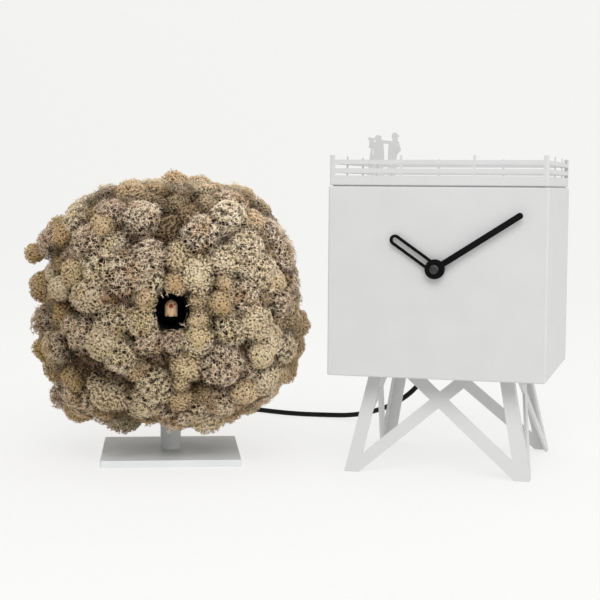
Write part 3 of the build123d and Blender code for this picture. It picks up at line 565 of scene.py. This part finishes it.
# ---- lichen ----------------------------------------------------------------------
# Places and sizes of the lichen are millimetres in the tree's own frame, front along -Y.
BALL_CENTRE = np.array((1.0, 0.0, 137.0))
BALL_HALF = np.array((113.0, 106.0, 110.0))
BALL_ROUND = 84.0
HOLE_Z = 136.0
HOLE_HALF = np.array((12.4, 14.6))
STEM_CLEAR = 11.5
CORD_CLEAR = 4.0
CORD_EXIT_Z = 84.0
# Lichen keeps clear of the nest mouth before NEST_CLEAR_Y, of the cable behind CORD_CLEAR_Y and
# of the stem below STEM_CLEAR_Z.
NEST_CLEAR_Y = -40
CORD_CLEAR_Y = 60
STEM_CLEAR_Z = 70
# The dark shell, a sheet of painted shade with some of the old growth's own brown, standing in for the
# shaded inside, lies inside the block's outside, and is open round the nest mouth and the stem.
SHELL_GROWN = -16.0
SHELL_HOLE = 14.6
SHELL_STEM = 10.2
# Twigs darken with their depth below the block's outside, partly the older growth's own brown and partly
# painted shade in the crevices, and no tip lies deeper than the last.
BURIED_FROM = 3.4
BURIED_OVER = 10.0
DEEPEST_TIP = -19
# Painted light by place: the lichen is coloured lighter on top and to the right and darker at the left,
# standing in for light from above and the right, with some of the lichen's own paler tone; and what its
# two ends do to the colour.
PAINTED_LIGHT_MIDDLE = 0.4
PAINTED_LIGHT_ACROSS = 0.3
PAINTED_LIGHT_ABOVE = 0.6
PAINTED_LIGHT_SATURATION = (1.32, 0.97)
PAINTED_LIGHT_BRIGHTNESS = (0.84, 1.36)
BAKE_MAP = "OFBake"
FILLS = {
    "front": "lichen_front",
    "back": "lichen_back",
    "left": "lichen_sides",
    "right": "lichen_sides",
    "top": "lichen_top",
    "bottom": "lichen_bottom",
}


class Look:
    """How a head grows: its tone and how far that may drift, its net, and how deep it sits."""

    def __init__(self, tone, tones, loose, sink):
        self.tone = tone
        self.tones = tones
        self.loose = loose
        self.sink = sink


DENSE_TONES = (0.0, 0.56)
PALE_TONES = (0.0, 0.30)
GREY_TONES = (0.64, 1.0)
LOOKS = {
    "cream": Look(0.00, DENSE_TONES, False, -1.0),
    "pale": Look(0.11, DENSE_TONES, False, -0.5),
    "yellow": Look(0.22, DENSE_TONES, False, 0.0),
    "beige": Look(0.33, DENSE_TONES, False, 1.0),
    "khaki": Look(0.44, DENSE_TONES, False, 3.5),
    "ochre": Look(0.55, DENSE_TONES, False, 4.0),
    "red": Look(0.66, GREY_TONES, True, 4.0),
    "fleece": Look(0.11, PALE_TONES, True, -0.5),
    "white": Look(0.77, GREY_TONES, True, 0.0),
    "mauve": Look(0.88, GREY_TONES, True, 2.5),
    "dark": Look(1.00, GREY_TONES, True, 10.0),
}
COLOURS = (
    (0.00, (0.94, 0.82, 0.61)),
    (0.11, (0.95, 0.84, 0.67)),
    (0.22, (0.91, 0.77, 0.52)),
    (0.33, (0.87, 0.71, 0.51)),
    (0.44, (0.76, 0.60, 0.40)),
    (0.55, (0.75, 0.56, 0.34)),
    (0.66, (0.66, 0.46, 0.32)),
    (0.77, (0.98, 0.86, 0.70)),
    (0.88, (0.82, 0.67, 0.54)),
    (1.00, (0.54, 0.41, 0.33)),
)

# Heads seen on the front: across, up, radius, look.
FRONT_HEADS = (
    (-57, 58, 22, "cream"),
    (-15, 68, 18, "fleece"),
    (8, 72, 10, "beige"),
    (8, 55, 13, "khaki"),
    (-43, 97, 16, "fleece"),
    (-49, 127, 18, "fleece"),
    (-77, 116, 17, "white"),
    (-73, 94, 15, "dark"),
    (22, 112, 14, "yellow"),
    (52, 120, 17, "fleece"),
    (66, 104, 12, "dark"),
    (44, 88, 20, "white"),
    (67, 85, 15, "mauve"),
    (91, 92, 13, "khaki"),
    (98, 124, 14, "khaki"),
    (64, 147, 18, "white"),
    (21, 166, 16, "cream"),
    (-15, 161, 13, "fleece"),
    (-18, 183, 17, "white"),
    (-62, 169, 19, "fleece"),
    (-100, 172, 14, "khaki"),
    (-96, 200, 12, "ochre"),
    (-73, 197, 18, "mauve"),
    (-51, 222, 14, "mauve"),
    (-24, 218, 18, "white"),
    (5, 232, 15, "ochre"),
    (32, 232, 13, "khaki"),
    (24, 204, 20, "white"),
    (50, 218, 17, "fleece"),
    (74, 214, 12, "khaki"),
    (66, 189, 17, "fleece"),
    (89, 184, 13, "khaki"),
    (92, 159, 13, "beige"),
    (-87, 147, 15, "dark"),
    (-99, 130, 14, "ochre"),
    (41, 143, 12, "khaki"),
    (-9, 94, 13, "dark"),
    (-88, 71, 13, "khaki"),
    (64, 64, 13, "beige"),
    (30, 58, 14, "khaki"),
    (-55, 148, 12, "red"),
    (-24, 128, 13, "fleece"),
    (-18, 112, 12, "white"),
    (23, 145, 12, "khaki"),
    (22, 128, 11, "beige"),
    (3, 112, 11, "mauve"),
    (4, 159, 11, "khaki"),
    (-21, 146, 11, "beige"),
)

# Furthest points of the heads at the block's edge, seen from the front: across, up, radius, look.
EDGE_HEADS = (
    (-126, 182, 9, "khaki"),
    (-122, 152, 14, "khaki"),
    (-119, 118, 16, "mauve"),
    (-118, 91, 14, "khaki"),
    (-109, 70, 13, "beige"),
    (-103, 45, 12, "mauve"),
    (-87, 36, 14, "beige"),
    (-50, 23, 20, "cream"),
    (-29, 30, 12, "beige"),
    (-6, 28, 13, "mauve"),
    (18, 26, 14, "khaki"),
    (41, 36, 15, "beige"),
    (60, 39, 13, "khaki"),
    (76, 38, 14, "beige"),
    (94, 55, 15, "pale"),
    (111, 70, 14, "khaki"),
    (119, 90, 14, "beige"),
    (121, 116, 15, "khaki"),
    (114, 143, 14, "ochre"),
    (112, 163, 13, "khaki"),
    (103, 181, 14, "beige"),
    (93, 199, 13, "khaki"),
    (88, 215, 12, "ochre"),
    (81, 223, 13, "khaki"),
    (71, 235, 8, "khaki"),
    (55, 237, 14, "yellow"),
    (28, 247, 14, "khaki"),
    (4, 251, 14, "ochre"),
    (-17, 244, 13, "khaki"),
    (-36, 243, 13, "beige"),
    (-53, 234, 14, "mauve"),
    (-72, 226, 13, "khaki"),
    (-87, 219, 13, "ochre"),
    (-104, 206, 12, "khaki"),
    (-112, 194, 13, "mauve"),
)


def ball_distance(points, grown=0.0):
    """How far points lie outside the rounded block that the lichen fills."""
    inner = np.abs(points - BALL_CENTRE) - (BALL_HALF + grown - BALL_ROUND)
    outside = np.linalg.norm(np.maximum(inner, 0), axis=1)
    return outside + np.minimum(inner.max(axis=1), 0) - BALL_ROUND


def ball_normals(points, grown=0.0):
    step = 0.5 * np.eye(3)
    slope = [ball_distance(points + s, grown) - ball_distance(points - s, grown) for s in step]
    return unit(np.stack(slope, axis=1))


def ball_surface(directions, grown=0.0):
    """Where rays from the block's centre leave it, and the way out there."""
    reach = np.full(len(directions), 260.0)
    for _ in range(80):
        reach -= ball_distance(BALL_CENTRE + directions * reach[:, None], grown)
    points = BALL_CENTRE + directions * reach[:, None]
    return points, ball_normals(points, grown)


def front_surface(across, up):
    """Where a line from the front, at this place across and up, meets the block."""
    point = np.array([[across, -BALL_HALF[1] - 20.0, up]], float)
    for _ in range(60):
        point[0, 1] = min(point[0, 1] + ball_distance(point)[0], -8.0)
    return point[0], ball_normals(point)[0]


def sphere_points(count):
    """Points spread evenly over a unit sphere, along a golden spiral."""
    index = np.arange(count) + 0.5
    height = 1 - 2 * index / count
    angle = index * math.pi * (1 + math.sqrt(5))
    flat = np.sqrt(1 - height**2)
    return np.stack([flat * np.cos(angle), flat * np.sin(angle), height], axis=1)


def unit(vectors):
    return vectors / np.maximum(np.linalg.norm(vectors, axis=-1, keepdims=True), 1e-9)


def random_turn(rng):
    matrix, _ = np.linalg.qr(rng.normal(size=(3, 3)))
    return matrix


def wander(points, scale, phase):
    """A smooth field from about -1 to 1 that changes over `scale` millimetres."""
    p = points / scale + phase
    waves = np.sin(p[:, 0] + 1.7 * np.sin(p[:, 1])) + np.sin(p[:, 1] * 1.3 + 1.4 * np.sin(p[:, 2]))
    return (waves + np.sin(p[:, 2] * 1.1 + 1.5 * np.sin(p[:, 0] * 0.9))) / 3


class Head:
    """One lumpy lichen head: its middle, its way out, its radius, look and tone."""

    def __init__(self, point, out, radius, look, rng, sink):
        self.out = out
        self.radius = radius
        self.name = look
        self.look = LOOKS[look]
        self.centre = point - out * (radius + self.look.sink + sink)
        self.tone = self.look.tone + rng.normal(0, 0.03)


def look_at(mauve, warm, chance):
    """A look for a scattered head, from two slow fields and one throw of a die."""
    if mauve > 0.45:
        return ("mauve", "white", "dark")[int(chance * 3)]
    if warm > 0.25:
        return ("cream", "fleece", "pale", "beige")[int(chance * 4)]
    if warm < -0.3:
        return ("ochre", "khaki", "red", "khaki")[int(chance * 4)]
    return ("khaki", "beige", "fleece", "pale", "white")[int(chance * 5)]


# Tries, smallest and largest radius, share of their summed radii that heads keep apart, and the
# chance that a head takes its nearest neighbour's look.
SCATTER_PASSES = (
    (6000, 15.0, 21.0, 0.62, 0.0),
    (5000, 11.0, 15.0, 0.62, 0.4),
    (6000, 7.0, 10.0, 0.74, 0.9),
)


def scatter_heads(rng):
    """Heads packed over the block: placed ones first, then large, then small ones between."""
    heads = []
    for across, up, radius, look in FRONT_HEADS:
        point, out = front_surface(across, up)
        heads.append(Head(point, out, radius, look, rng, rng.uniform(-3.5, 3.0)))
    for across, up, radius, look in EDGE_HEADS:
        point = np.array((across, rng.uniform(-24, 12), up), float)
        out = unit(np.array((across - BALL_CENTRE[0], 0.25 * point[1], up - BALL_CENTRE[2])))
        heads.append(Head(point, out, radius, look, rng, -LOOKS[look].sink))
    placed = np.array([h.centre + h.out * h.radius for h in heads])
    radii = np.array([h.radius for h in heads], float)
    for number, smallest, largest, crowd, follow in SCATTER_PASSES:
        points, normals = ball_surface(unit(rng.normal(size=(number, 3))))
        sizes = rng.uniform(smallest, largest, number)
        mauve = wander(points, 13.0, 3.1)
        warm = wander(points, 16.0, 7.7)
        sinks = np.clip(rng.normal(0.5, 3.2, number), -4.5, 7.5)
        sinks[(np.abs(points[:, 1]) < 45) & (np.abs(normals[:, 1]) < 0.45)] += 5.0
        for i in range(number):
            gap = np.linalg.norm(placed - points[i], axis=1)
            if np.any(gap < crowd * (radii + sizes[i])):
                continue
            hole_gap = math.hypot(points[i][0], points[i][2] - HOLE_Z)
            if points[i][1] < -60 and hole_gap < HOLE_HALF[1] + 0.9 * sizes[i]:
                continue
            if points[i][2] < 60 and math.hypot(points[i][0], points[i][1]) < STEM_CLEAR + 5:
                continue
            look = look_at(mauve[i], warm[i], rng.random())
            if rng.random() < follow:
                look = heads[int(gap.argmin())].name
            heads.append(Head(points[i], normals[i], sizes[i], look, rng, sinks[i]))
            placed = np.vstack([placed, points[i]])
            radii = np.append(radii, sizes[i])
    return heads


class Twigs:
    """Gathers tapered twigs, as three-sided prisms and pointed prongs."""

    def __init__(self):
        self.rows = []

    def add(self, starts, ends, thick, thin, depth_start, depth_end, tone):
        count = len(starts)
        if count:
            columns = [starts, ends]
            for value in (thick, thin, depth_start, depth_end, tone):
                columns.append(np.broadcast_to(np.asarray(value, float), count)[:, None])
            self.rows.append(np.concatenate(columns, axis=1))

    def arrays(self, pointed):
        """Points, face corners, face sizes and point attributes of every twig."""
        rows = np.concatenate(self.rows)
        start, end = rows[:, 0:3], rows[:, 3:6]
        thick, thin = rows[:, 6:7], rows[:, 7:8]
        along = unit(end - start)
        side = unit(np.cross(along, np.where(np.abs(along[:, 2:3]) < 0.9, (0, 0, 1), (1, 0, 0))))
        other = np.cross(along, side)
        rim = [
            math.cos(a) * side + math.sin(a) * other
            for a in (0, 2 * math.pi / 3, 4 * math.pi / 3)
        ]
        rings = [start + thick * r for r in rim]
        if pointed:
            rings.append(end)
            corners = np.array((0, 1, 3, 1, 2, 3, 2, 0, 3, 2, 1, 0))
            sizes = np.array((3, 3, 3, 3))
        else:
            rings += [end + thin * r for r in rim]
            corners = np.array((0, 1, 4, 3, 1, 2, 5, 4, 2, 0, 3, 5, 2, 1, 0, 3, 4, 5))
            sizes = np.array((4, 4, 4, 3, 3))
        each = len(rings)
        points = np.stack(rings, axis=1).reshape(-1, 3)
        offsets = np.arange(len(rows))[:, None] * each
        depth = np.repeat(rows[:, 8:9], each, axis=1)
        depth[:, 3:] = rows[:, 9:10]
        tone = np.repeat(rows[:, 10:11], each, axis=1)
        all_corners = (offsets + corners).ravel()
        all_sizes = np.tile(sizes, len(rows))
        return points, all_corners, all_sizes, depth.ravel(), tone.ravel()


DENSE_SPACING = 2.3
LOOSE_SPACING = 3.7
DENSE_CORE = 0.86
LOOSE_CORE = 0.62
STAR_PRONGS = 5


def head_radius(head, ways):
    """A head's radius along each way: its lumps, like a cauliflower's, on its round shape."""
    places = head.centre + ways * head.radius
    lumps = 0.11 * wander(places, 3.4, 0.6) + 0.08 * wander(places, 1.6, 1.9)
    return head.radius * (1 + lumps + 0.02 * wander(places, 0.8, 5.3))


def grow_head(head, others, rng, struts, prongs):
    """The net of one head: stalks from its core that end in stars of short prongs."""
    loose = head.look.loose
    spacing = LOOSE_SPACING if loose else DENSE_SPACING
    count = max(12, int(4 * math.pi * head.radius**2 / (0.866 * spacing**2)))
    ways = unit(sphere_points(count) @ random_turn(rng) + rng.normal(0, 0.05, (count, 3)))
    reach = head_radius(head, ways) + rng.normal(0, 0.9 if loose else 0.35, count)
    tips = head.centre + ways * reach[:, None]
    keep = (ways @ head.out > -0.35) & (ball_distance(tips) > DEEPEST_TIP)
    for other in others:
        apart = np.linalg.norm(tips - other.centre, axis=1)
        keep &= apart > other.radius - 1.0
    keep &= clear_of_openings(tips)
    if not keep.any():
        return
    tips = tips[keep]
    ways = ways[keep]
    core = head.radius * (LOOSE_CORE if loose else DENSE_CORE)
    feet = head.centre + ways * (core - 0.8)
    tones = mixed_tones(head, tips)
    deep = buried(tips)
    if loose:
        gather(head, feet, tips, ways, tones, rng, struts)
        grow_stars(tips, ways, tones, rng, prongs, 4.0, 0.42, deep)
        middle = head.centre + (tips - head.centre) * rng.uniform(0.74, 0.88, (len(tips), 1))
        middle = middle + rng.normal(0, 0.5, middle.shape)
        # The inner stars of a loose head get more painted shade, as they lie deeper in it.
        grow_stars(middle, ways, tones, rng, prongs, 3.2, 0.38, np.minimum(deep + 0.5, 1))
    else:
        # Stalks are painted darkest at their feet, partly older brown and partly painted shade.
        struts.add(feet, tips, 0.45, 0.38, 0.85, deep, tones)
        grow_stars(tips, ways, tones, rng, prongs, 1.75, 0.37, deep)


def painted_light_by_place(places):
    """Painted light by place, most on the top and least at the left: it stands in for light falling from
    above and the right, and carries some of the lichen's own paler tone.
    """
    across = (places[:, 0] - BALL_CENTRE[0]) / BALL_HALF[0]
    above = (places[:, 2] - BALL_CENTRE[2]) / BALL_HALF[2]
    painted_lightness = PAINTED_LIGHT_MIDDLE + PAINTED_LIGHT_ACROSS * across + PAINTED_LIGHT_ABOVE * np.maximum(above, 0)
    return np.clip(painted_lightness, 0, 1)


def buried(places):
    """How deep places lie below the block's outside, from 0 to 0.9, which sets how much painted shade
    and darker brown they get.
    """
    return np.clip((-ball_distance(places) - BURIED_FROM) / BURIED_OVER, 0, 0.9)


def mixed_tones(head, places):
    """Tones that drift over a head, within its look's part of the scale."""
    return np.clip(head.tone + 0.12 * wander(places, 3.5, 2.7), *head.look.tones)


def gather(head, feet, tips, ways, tones, rng, struts):
    """Stalks that join in bunches on their way down into a loose head."""
    knots = max(6, int(len(tips) / 3.2))
    chosen = rng.choice(len(tips), knots, replace=False) if len(tips) > knots else np.arange(len(tips))
    joint_of = chosen[(ways @ ways[chosen].T).argmax(axis=1)]
    joints = head.centre + (tips - head.centre) * 0.76 + rng.normal(0, 0.3, tips.shape)
    struts.add(joints[joint_of], tips, 0.42, 0.36, 0.4, 0.03, tones)
    used = np.unique(joint_of)
    struts.add(feet[used], joints[used], 0.62, 0.5, 0.9, 0.36, tones[used])


def grow_stars(tips, ways, tones, rng, prongs, length, thick, depth):
    """Short pointed prongs that spread sideways from each tip and meet the next tip's."""
    side = unit(np.cross(ways, unit(rng.normal(size=ways.shape))))
    other = np.cross(ways, side)
    for prong in range(STAR_PRONGS):
        angle = 2 * math.pi * prong / STAR_PRONGS + rng.normal(0, 0.35, len(tips))[:, None]
        lift = rng.normal(0.28, 0.2, len(tips))[:, None]
        way = unit(np.cos(angle) * side + np.sin(angle) * other + lift * ways)
        reach = length * rng.uniform(0.7, 1.25, len(tips))[:, None]
        ends = tips + way * reach
        keep = clear_of_openings(ends)
        deep = depth[keep]
        prongs.add(tips[keep], ends[keep], thick, 0.0, deep, 0.8 * deep, tones[keep])


# Loose sprigs that lean over the rim of the nest mouth: degrees round it, reach inwards.
RIM_SPRIGS = (
    (104, 4.0),
    (122, 3.0),
    (66, 2.6),
    (176, 2.6),
    (198, 2.2),
    (318, 5.0),
    (20, 2.0),
)


def grow_rim(rng, struts, prongs):
    """Pale forked sprigs that reach a little way over the nest mouth."""
    for way_round, reach in RIM_SPRIGS:
        angle = math.radians(way_round)
        out = np.array((math.cos(angle), 0.0, math.sin(angle)))
        rim = np.array((0.0, 0.0, HOLE_Z)) + out * np.array((HOLE_HALF[0], 0, HOLE_HALF[1]))
        foot = rim + out * 5 + np.array((0.0, -98.5, 0.0))
        fork = rim + out * 1.2 + np.array((0.0, -103.0 + rng.normal(0, 0.6), 0.0))
        struts.add(foot[None], fork[None], 0.45, 0.36, 0.3, 0.1, LOOKS["mauve"].tone)
        for _ in range(6):
            lean = unit(-out + rng.normal(0, 0.55, 3) * (1, 0.7, 1))
            end = fork + lean * reach * rng.uniform(0.55, 1.0)
            prongs.add(fork[None], end[None], 0.34, 0.0, 0.1, 0.0, LOOKS["mauve"].tone)


def clear_of_openings(points):
    """Which points leave the nest mouth, the stem and the cable's way free."""
    hole = np.hypot(points[:, 0] / HOLE_HALF[0], (points[:, 2] - HOLE_Z) / HOLE_HALF[1])
    stem = np.hypot(points[:, 0], points[:, 1])
    cord = np.hypot(points[:, 0], points[:, 2] - CORD_EXIT_Z)
    blocked = (points[:, 1] < NEST_CLEAR_Y) & (hole < 1)
    blocked |= (points[:, 2] < STEM_CLEAR_Z) & (stem < STEM_CLEAR)
    blocked |= (points[:, 1] > CORD_CLEAR_Y) & (cord < CORD_CLEAR)
    return ~blocked


def pushed_clear(points):
    """Points moved straight out of the nest mouth and away from the stem."""
    points = points.copy()
    half = HOLE_HALF + 1.2
    hole = np.hypot(points[:, 0] / half[0], (points[:, 2] - HOLE_Z) / half[1])
    inside = (points[:, 1] < NEST_CLEAR_Y) & (hole < 1)
    grow = 1 / np.maximum(hole[inside], 0.05)
    points[inside, 0] *= grow
    points[inside, 2] = HOLE_Z + (points[inside, 2] - HOLE_Z) * grow
    stem = np.hypot(points[:, 0], points[:, 1])
    inside = (points[:, 2] < STEM_CLEAR_Z) & (stem < STEM_CLEAR + 1)
    points[inside, :2] *= ((STEM_CLEAR + 1) / np.maximum(stem[inside], 0.5))[:, None]
    return points


def side_of(point):
    """Which face of the block a point belongs to, and which quarter of that face."""
    share = (point - BALL_CENTRE) / BALL_HALF
    axis = int(np.abs(share).argmax())
    names = (("left", "right"), ("front", "back"), ("bottom", "top"))
    first, second = ((1, 2), (0, 2), (0, 1))[axis]
    quarter = "abcd"[2 * int(share[first] > 0) + int(share[second] > 0)]
    return names[axis][int(share[axis] > 0)], quarter


def lichen_hue(tree):
    """The colour of each head, with slow patches and small flecks in it, and painted light by place:
    lighter on top and to the right.
    """
    hue = ramp(tree, attribute(tree, "tone"), *COLOURS)
    patches = map_range(tree, noise(tree, 75.0, 3.0), 0.0, 0.42)
    mottled = mix(tree, patches, hue, (0.58, 0.45, 0.28))
    flecks = map_range(tree, noise(tree, 520.0, 2.0), 0.0, 0.4, 0.5, 0.75)
    flecked = mix(tree, flecks, mottled, (0.40, 0.28, 0.17))
    # Painted light: where less light falls the colour is darker and more saturated, where more falls it
    # is lighter and paler.
    painted_light_level = attribute(tree, "painted_light_level")
    painted_lit_colour = tree.nodes.new("ShaderNodeHueSaturation")
    for socket, limits in (("Saturation", PAINTED_LIGHT_SATURATION), ("Value", PAINTED_LIGHT_BRIGHTNESS)):
        tree.links.new(map_range(tree, painted_light_level, *limits, 0.0, 1.0), painted_lit_colour.inputs[socket])
    tree.links.new(flecked, painted_lit_colour.inputs["Color"])
    return painted_lit_colour.outputs["Color"]


def lichen_material():
    """Dry pale twigs: cream to khaki by head, mauve-grey where loose, dark brown deep inside, partly
    their own older brown and partly painted shade.
    """
    material, tree, shader = start_material("reindeer_lichen")
    depth = attribute(tree, "depth")
    # Painted shade: deeper twigs are mixed towards dark brown, partly their own older colour and partly
    # the shade between the heads.
    painted_depth_shade = ramp(tree, depth, (0.0, (0, 0, 0)), (0.4, (0.50, 0.50, 0.50)), (1.0, (1, 1, 1)))
    shaded = mix(tree, painted_depth_shade, lichen_hue(tree), (0.090, 0.048, 0.018))
    tree.links.new(shaded, shader.inputs["Base Color"])
    shader.inputs["Roughness"].default_value = 0.88
    shader.inputs["Specular IOR Level"].default_value = 0.15
    relief(tree, shader, noise(tree, 2600.0, 2.0), 0.0001)
    return material


def core_and_shade_material():
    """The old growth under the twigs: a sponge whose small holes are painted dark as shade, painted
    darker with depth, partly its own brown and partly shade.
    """
    material, tree, shader = start_material("lichen_core_and_shade")
    place = tree.nodes.new("ShaderNodeTexCoord")
    holes = tree.nodes.new("ShaderNodeTexVoronoi")
    holes.inputs["Scale"].default_value = 410.0
    tree.links.new(place.outputs["Object"], holes.inputs["Vector"])
    # Painted shade in the sponge's holes.
    painted_pore_shade = map_range(tree, holes.outputs["Distance"], 1.0, 0.0, 0.22, 0.62)
    sponge = mix(tree, painted_pore_shade, lichen_hue(tree), (0.035, 0.020, 0.010))
    depth = attribute(tree, "depth")
    shaded = mix(tree, depth, sponge, (0.030, 0.019, 0.011))
    tree.links.new(shaded, shader.inputs["Base Color"])
    shader.inputs["Roughness"].default_value = 0.92
    shader.inputs["Specular IOR Level"].default_value = 0.1
    relief(tree, shader, holes.outputs["Distance"], 0.0012)
    return material


def add_point_values(mesh, name, values):
    layer = mesh.attributes.new(name, "FLOAT", "POINT")
    layer.data.foreach_set("value", np.asarray(values, np.float32))


def add_bake_map(mesh, points, corners, sizes, depths, side):
    """Lays the faces flat as seen square on to their side, in three bands by their depth."""
    drop = {"left": 0, "right": 0, "front": 1, "back": 1, "top": 2, "bottom": 2}[side]
    flat = np.delete(points, drop, axis=1)
    flat = (flat - flat.min(axis=0)) / np.ptp(flat, axis=0)
    first = np.concatenate([[0], np.cumsum(sizes)[:-1]])
    band = np.digitize(depths[corners[first]], (0.3, 0.58))
    places = flat[corners]
    places[:, 1] = (0.01 + 0.98 * places[:, 1] + np.repeat(band, sizes)) / 3
    layer = mesh.uv_layers.new(name=BAKE_MAP)
    layer.data.foreach_set("uv", places.astype(np.float32).ravel())


def to_row_frame(points):
    turn = np.array(TREE.to_3x3())
    return (points * MM) @ turn.T + np.array(TREE.translation)


def make_lichen_piece(side, quarter, struts, prongs, material):
    parts = []
    if struts.rows:
        parts.append(struts.arrays(False))
    if prongs.rows:
        parts.append(prongs.arrays(True))
    offset = 0
    points, corners, sizes, depths, tones = [], [], [], [], []
    for part in parts:
        points.append(part[0])
        corners.append(part[1] + offset)
        sizes.append(part[2])
        depths.append(part[3])
        tones.append(part[4])
        offset += len(part[0])
    points, corners, sizes, depths = map(np.concatenate, (points, corners, sizes, depths))
    name = f"lichen_{side}_{quarter}"
    mesh = mesh_from_arrays(name, to_row_frame(points), corners, sizes)
    add_point_values(mesh, "depth", depths)
    add_point_values(mesh, "tone", np.concatenate(tones))
    # Each point's level of painted light, higher on top and to the right.
    add_point_values(mesh, "painted_light_level", painted_light_by_place(points))
    add_bake_map(mesh, points, corners, sizes, depths, side)
    return new_object(name, mesh, material)


def make_lichen():
    rng = np.random.default_rng(SEED)
    heads = scatter_heads(rng)
    centres = np.array([h.centre for h in heads])
    reach = np.array([h.radius for h in heads])
    groups = {}
    for index, head in enumerate(heads):
        apart = np.linalg.norm(centres - head.centre, axis=1)
        near = np.flatnonzero(apart < reach + head.radius + 3)
        others = [heads[i] for i in near if i != index]
        key = side_of(head.centre)
        struts, prongs = groups.setdefault(key, (Twigs(), Twigs()))
        grow_head(head, others, rng, struts, prongs)
    grow_rim(rng, *groups[("front", "a")])
    material = lichen_material()
    for (side, quarter), (struts, prongs) in sorted(groups.items()):
        piece = make_lichen_piece(side, quarter, struts, prongs, material)
        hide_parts(FILLS[side])
    make_cores_and_shade_shell(heads, rng)


def make_cores_and_shade_shell(heads, rng):
    """The old growth under the twigs: a core inside each head, painted dark as shade in loose heads, and
    a dark lumpy shell of painted shade with some of its own brown.
    """
    low = bmesh.new()
    bmesh.ops.create_icosphere(low, subdivisions=3, radius=1.0)
    ball = unit(np.array([v.co for v in low.verts]))
    ball_faces = np.array([[v.index for v in f.verts] for f in low.faces])
    low.free()
    points, corners, depths, tones = [], [], [], []
    offset = 0
    for head in heads:
        share = LOOSE_CORE if head.look.loose else DENSE_CORE
        core = head.centre + ball * (head_radius(head, ball) * share)[:, None]
        points.append(pushed_clear(core + rng.normal(0, 0.2, core.shape)))
        corners.append(ball_faces + offset)
        # Cores of loose heads, seen through their open net, are painted dark as shade.
        depths.append(np.minimum(0.95, buried(core) + (0.7 if head.look.loose else 0.15)))
        tones.append(mixed_tones(head, core))
        offset += len(ball)
    fine = bmesh.new()
    bmesh.ops.create_icosphere(fine, subdivisions=6, radius=1.0)
    ways = unit(np.array([v.co for v in fine.verts]))
    shell, out = ball_surface(ways, SHELL_GROWN)
    shell += out * (2.2 * wander(shell, 5.0, 1.3) + 1.2 * wander(shell, 2.1, 4.1))[:, None]
    shell_faces = np.array([[v.index for v in f.verts] for f in fine.faces])
    fine.free()
    hole = np.hypot(shell[:, 0], shell[:, 2] - HOLE_Z)
    near_hole = (shell[:, 1] < NEST_CLEAR_Y) & (hole < SHELL_HOLE)
    stem = np.hypot(shell[:, 0], shell[:, 1])
    near_stem = (shell[:, 2] < STEM_CLEAR_Z) & (stem < SHELL_STEM)
    covered = shell_faces[~(near_hole | near_stem)[shell_faces].any(axis=1)]
    used, renumbered = np.unique(covered, return_inverse=True)
    points.append(shell[used])
    corners.append(renumbered.reshape(-1, 3) + offset)
    # The shell is painted dark as shade, with some of the old growth's own brown.
    depths.append(np.full(len(used), 0.8))
    tones.append(np.full(len(used), LOOKS["khaki"].tone))
    all_corners = np.concatenate(corners).ravel()
    places = np.concatenate(points)
    mesh = mesh_from_arrays(
        "lichen_cores_and_shade_shell",
        to_row_frame(places),
        all_corners,
        np.full(len(all_corners) // 3, 3),
    )
    add_point_values(mesh, "depth", np.concatenate(depths))
    # Each point's level of painted light, higher on top and to the right.
    add_point_values(mesh, "painted_light_level", painted_light_by_place(places))
    add_point_values(mesh, "tone", np.concatenate(tones))
    new_object("lichen_cores_and_shade_shell", mesh, core_and_shade_material())


# ---- the whole scene -------------------------------------------------------------
make_camera()
make_backdrop()
make_light()
slot_looks = slot_materials()
dress_cad(slot_looks)
make_cord(cable_material())
make_strain_relief(
    "tower_strain_relief",
    "tower_cord_gland",
    in_tower(*TOWER_GLAND_SEAT),
    in_tower(*CORD_ROUTE[0]),
    slot_looks["black_plastic"],
)
make_strain_relief(
    "tree_strain_relief",
    "tree_cord_gland",
    in_tree(*TREE_GLAND_SEAT),
    in_tower(*CORD_ROUTE[-1]),
    slot_looks["black_plastic"],
)
make_bird_eyes()
make_lichen()
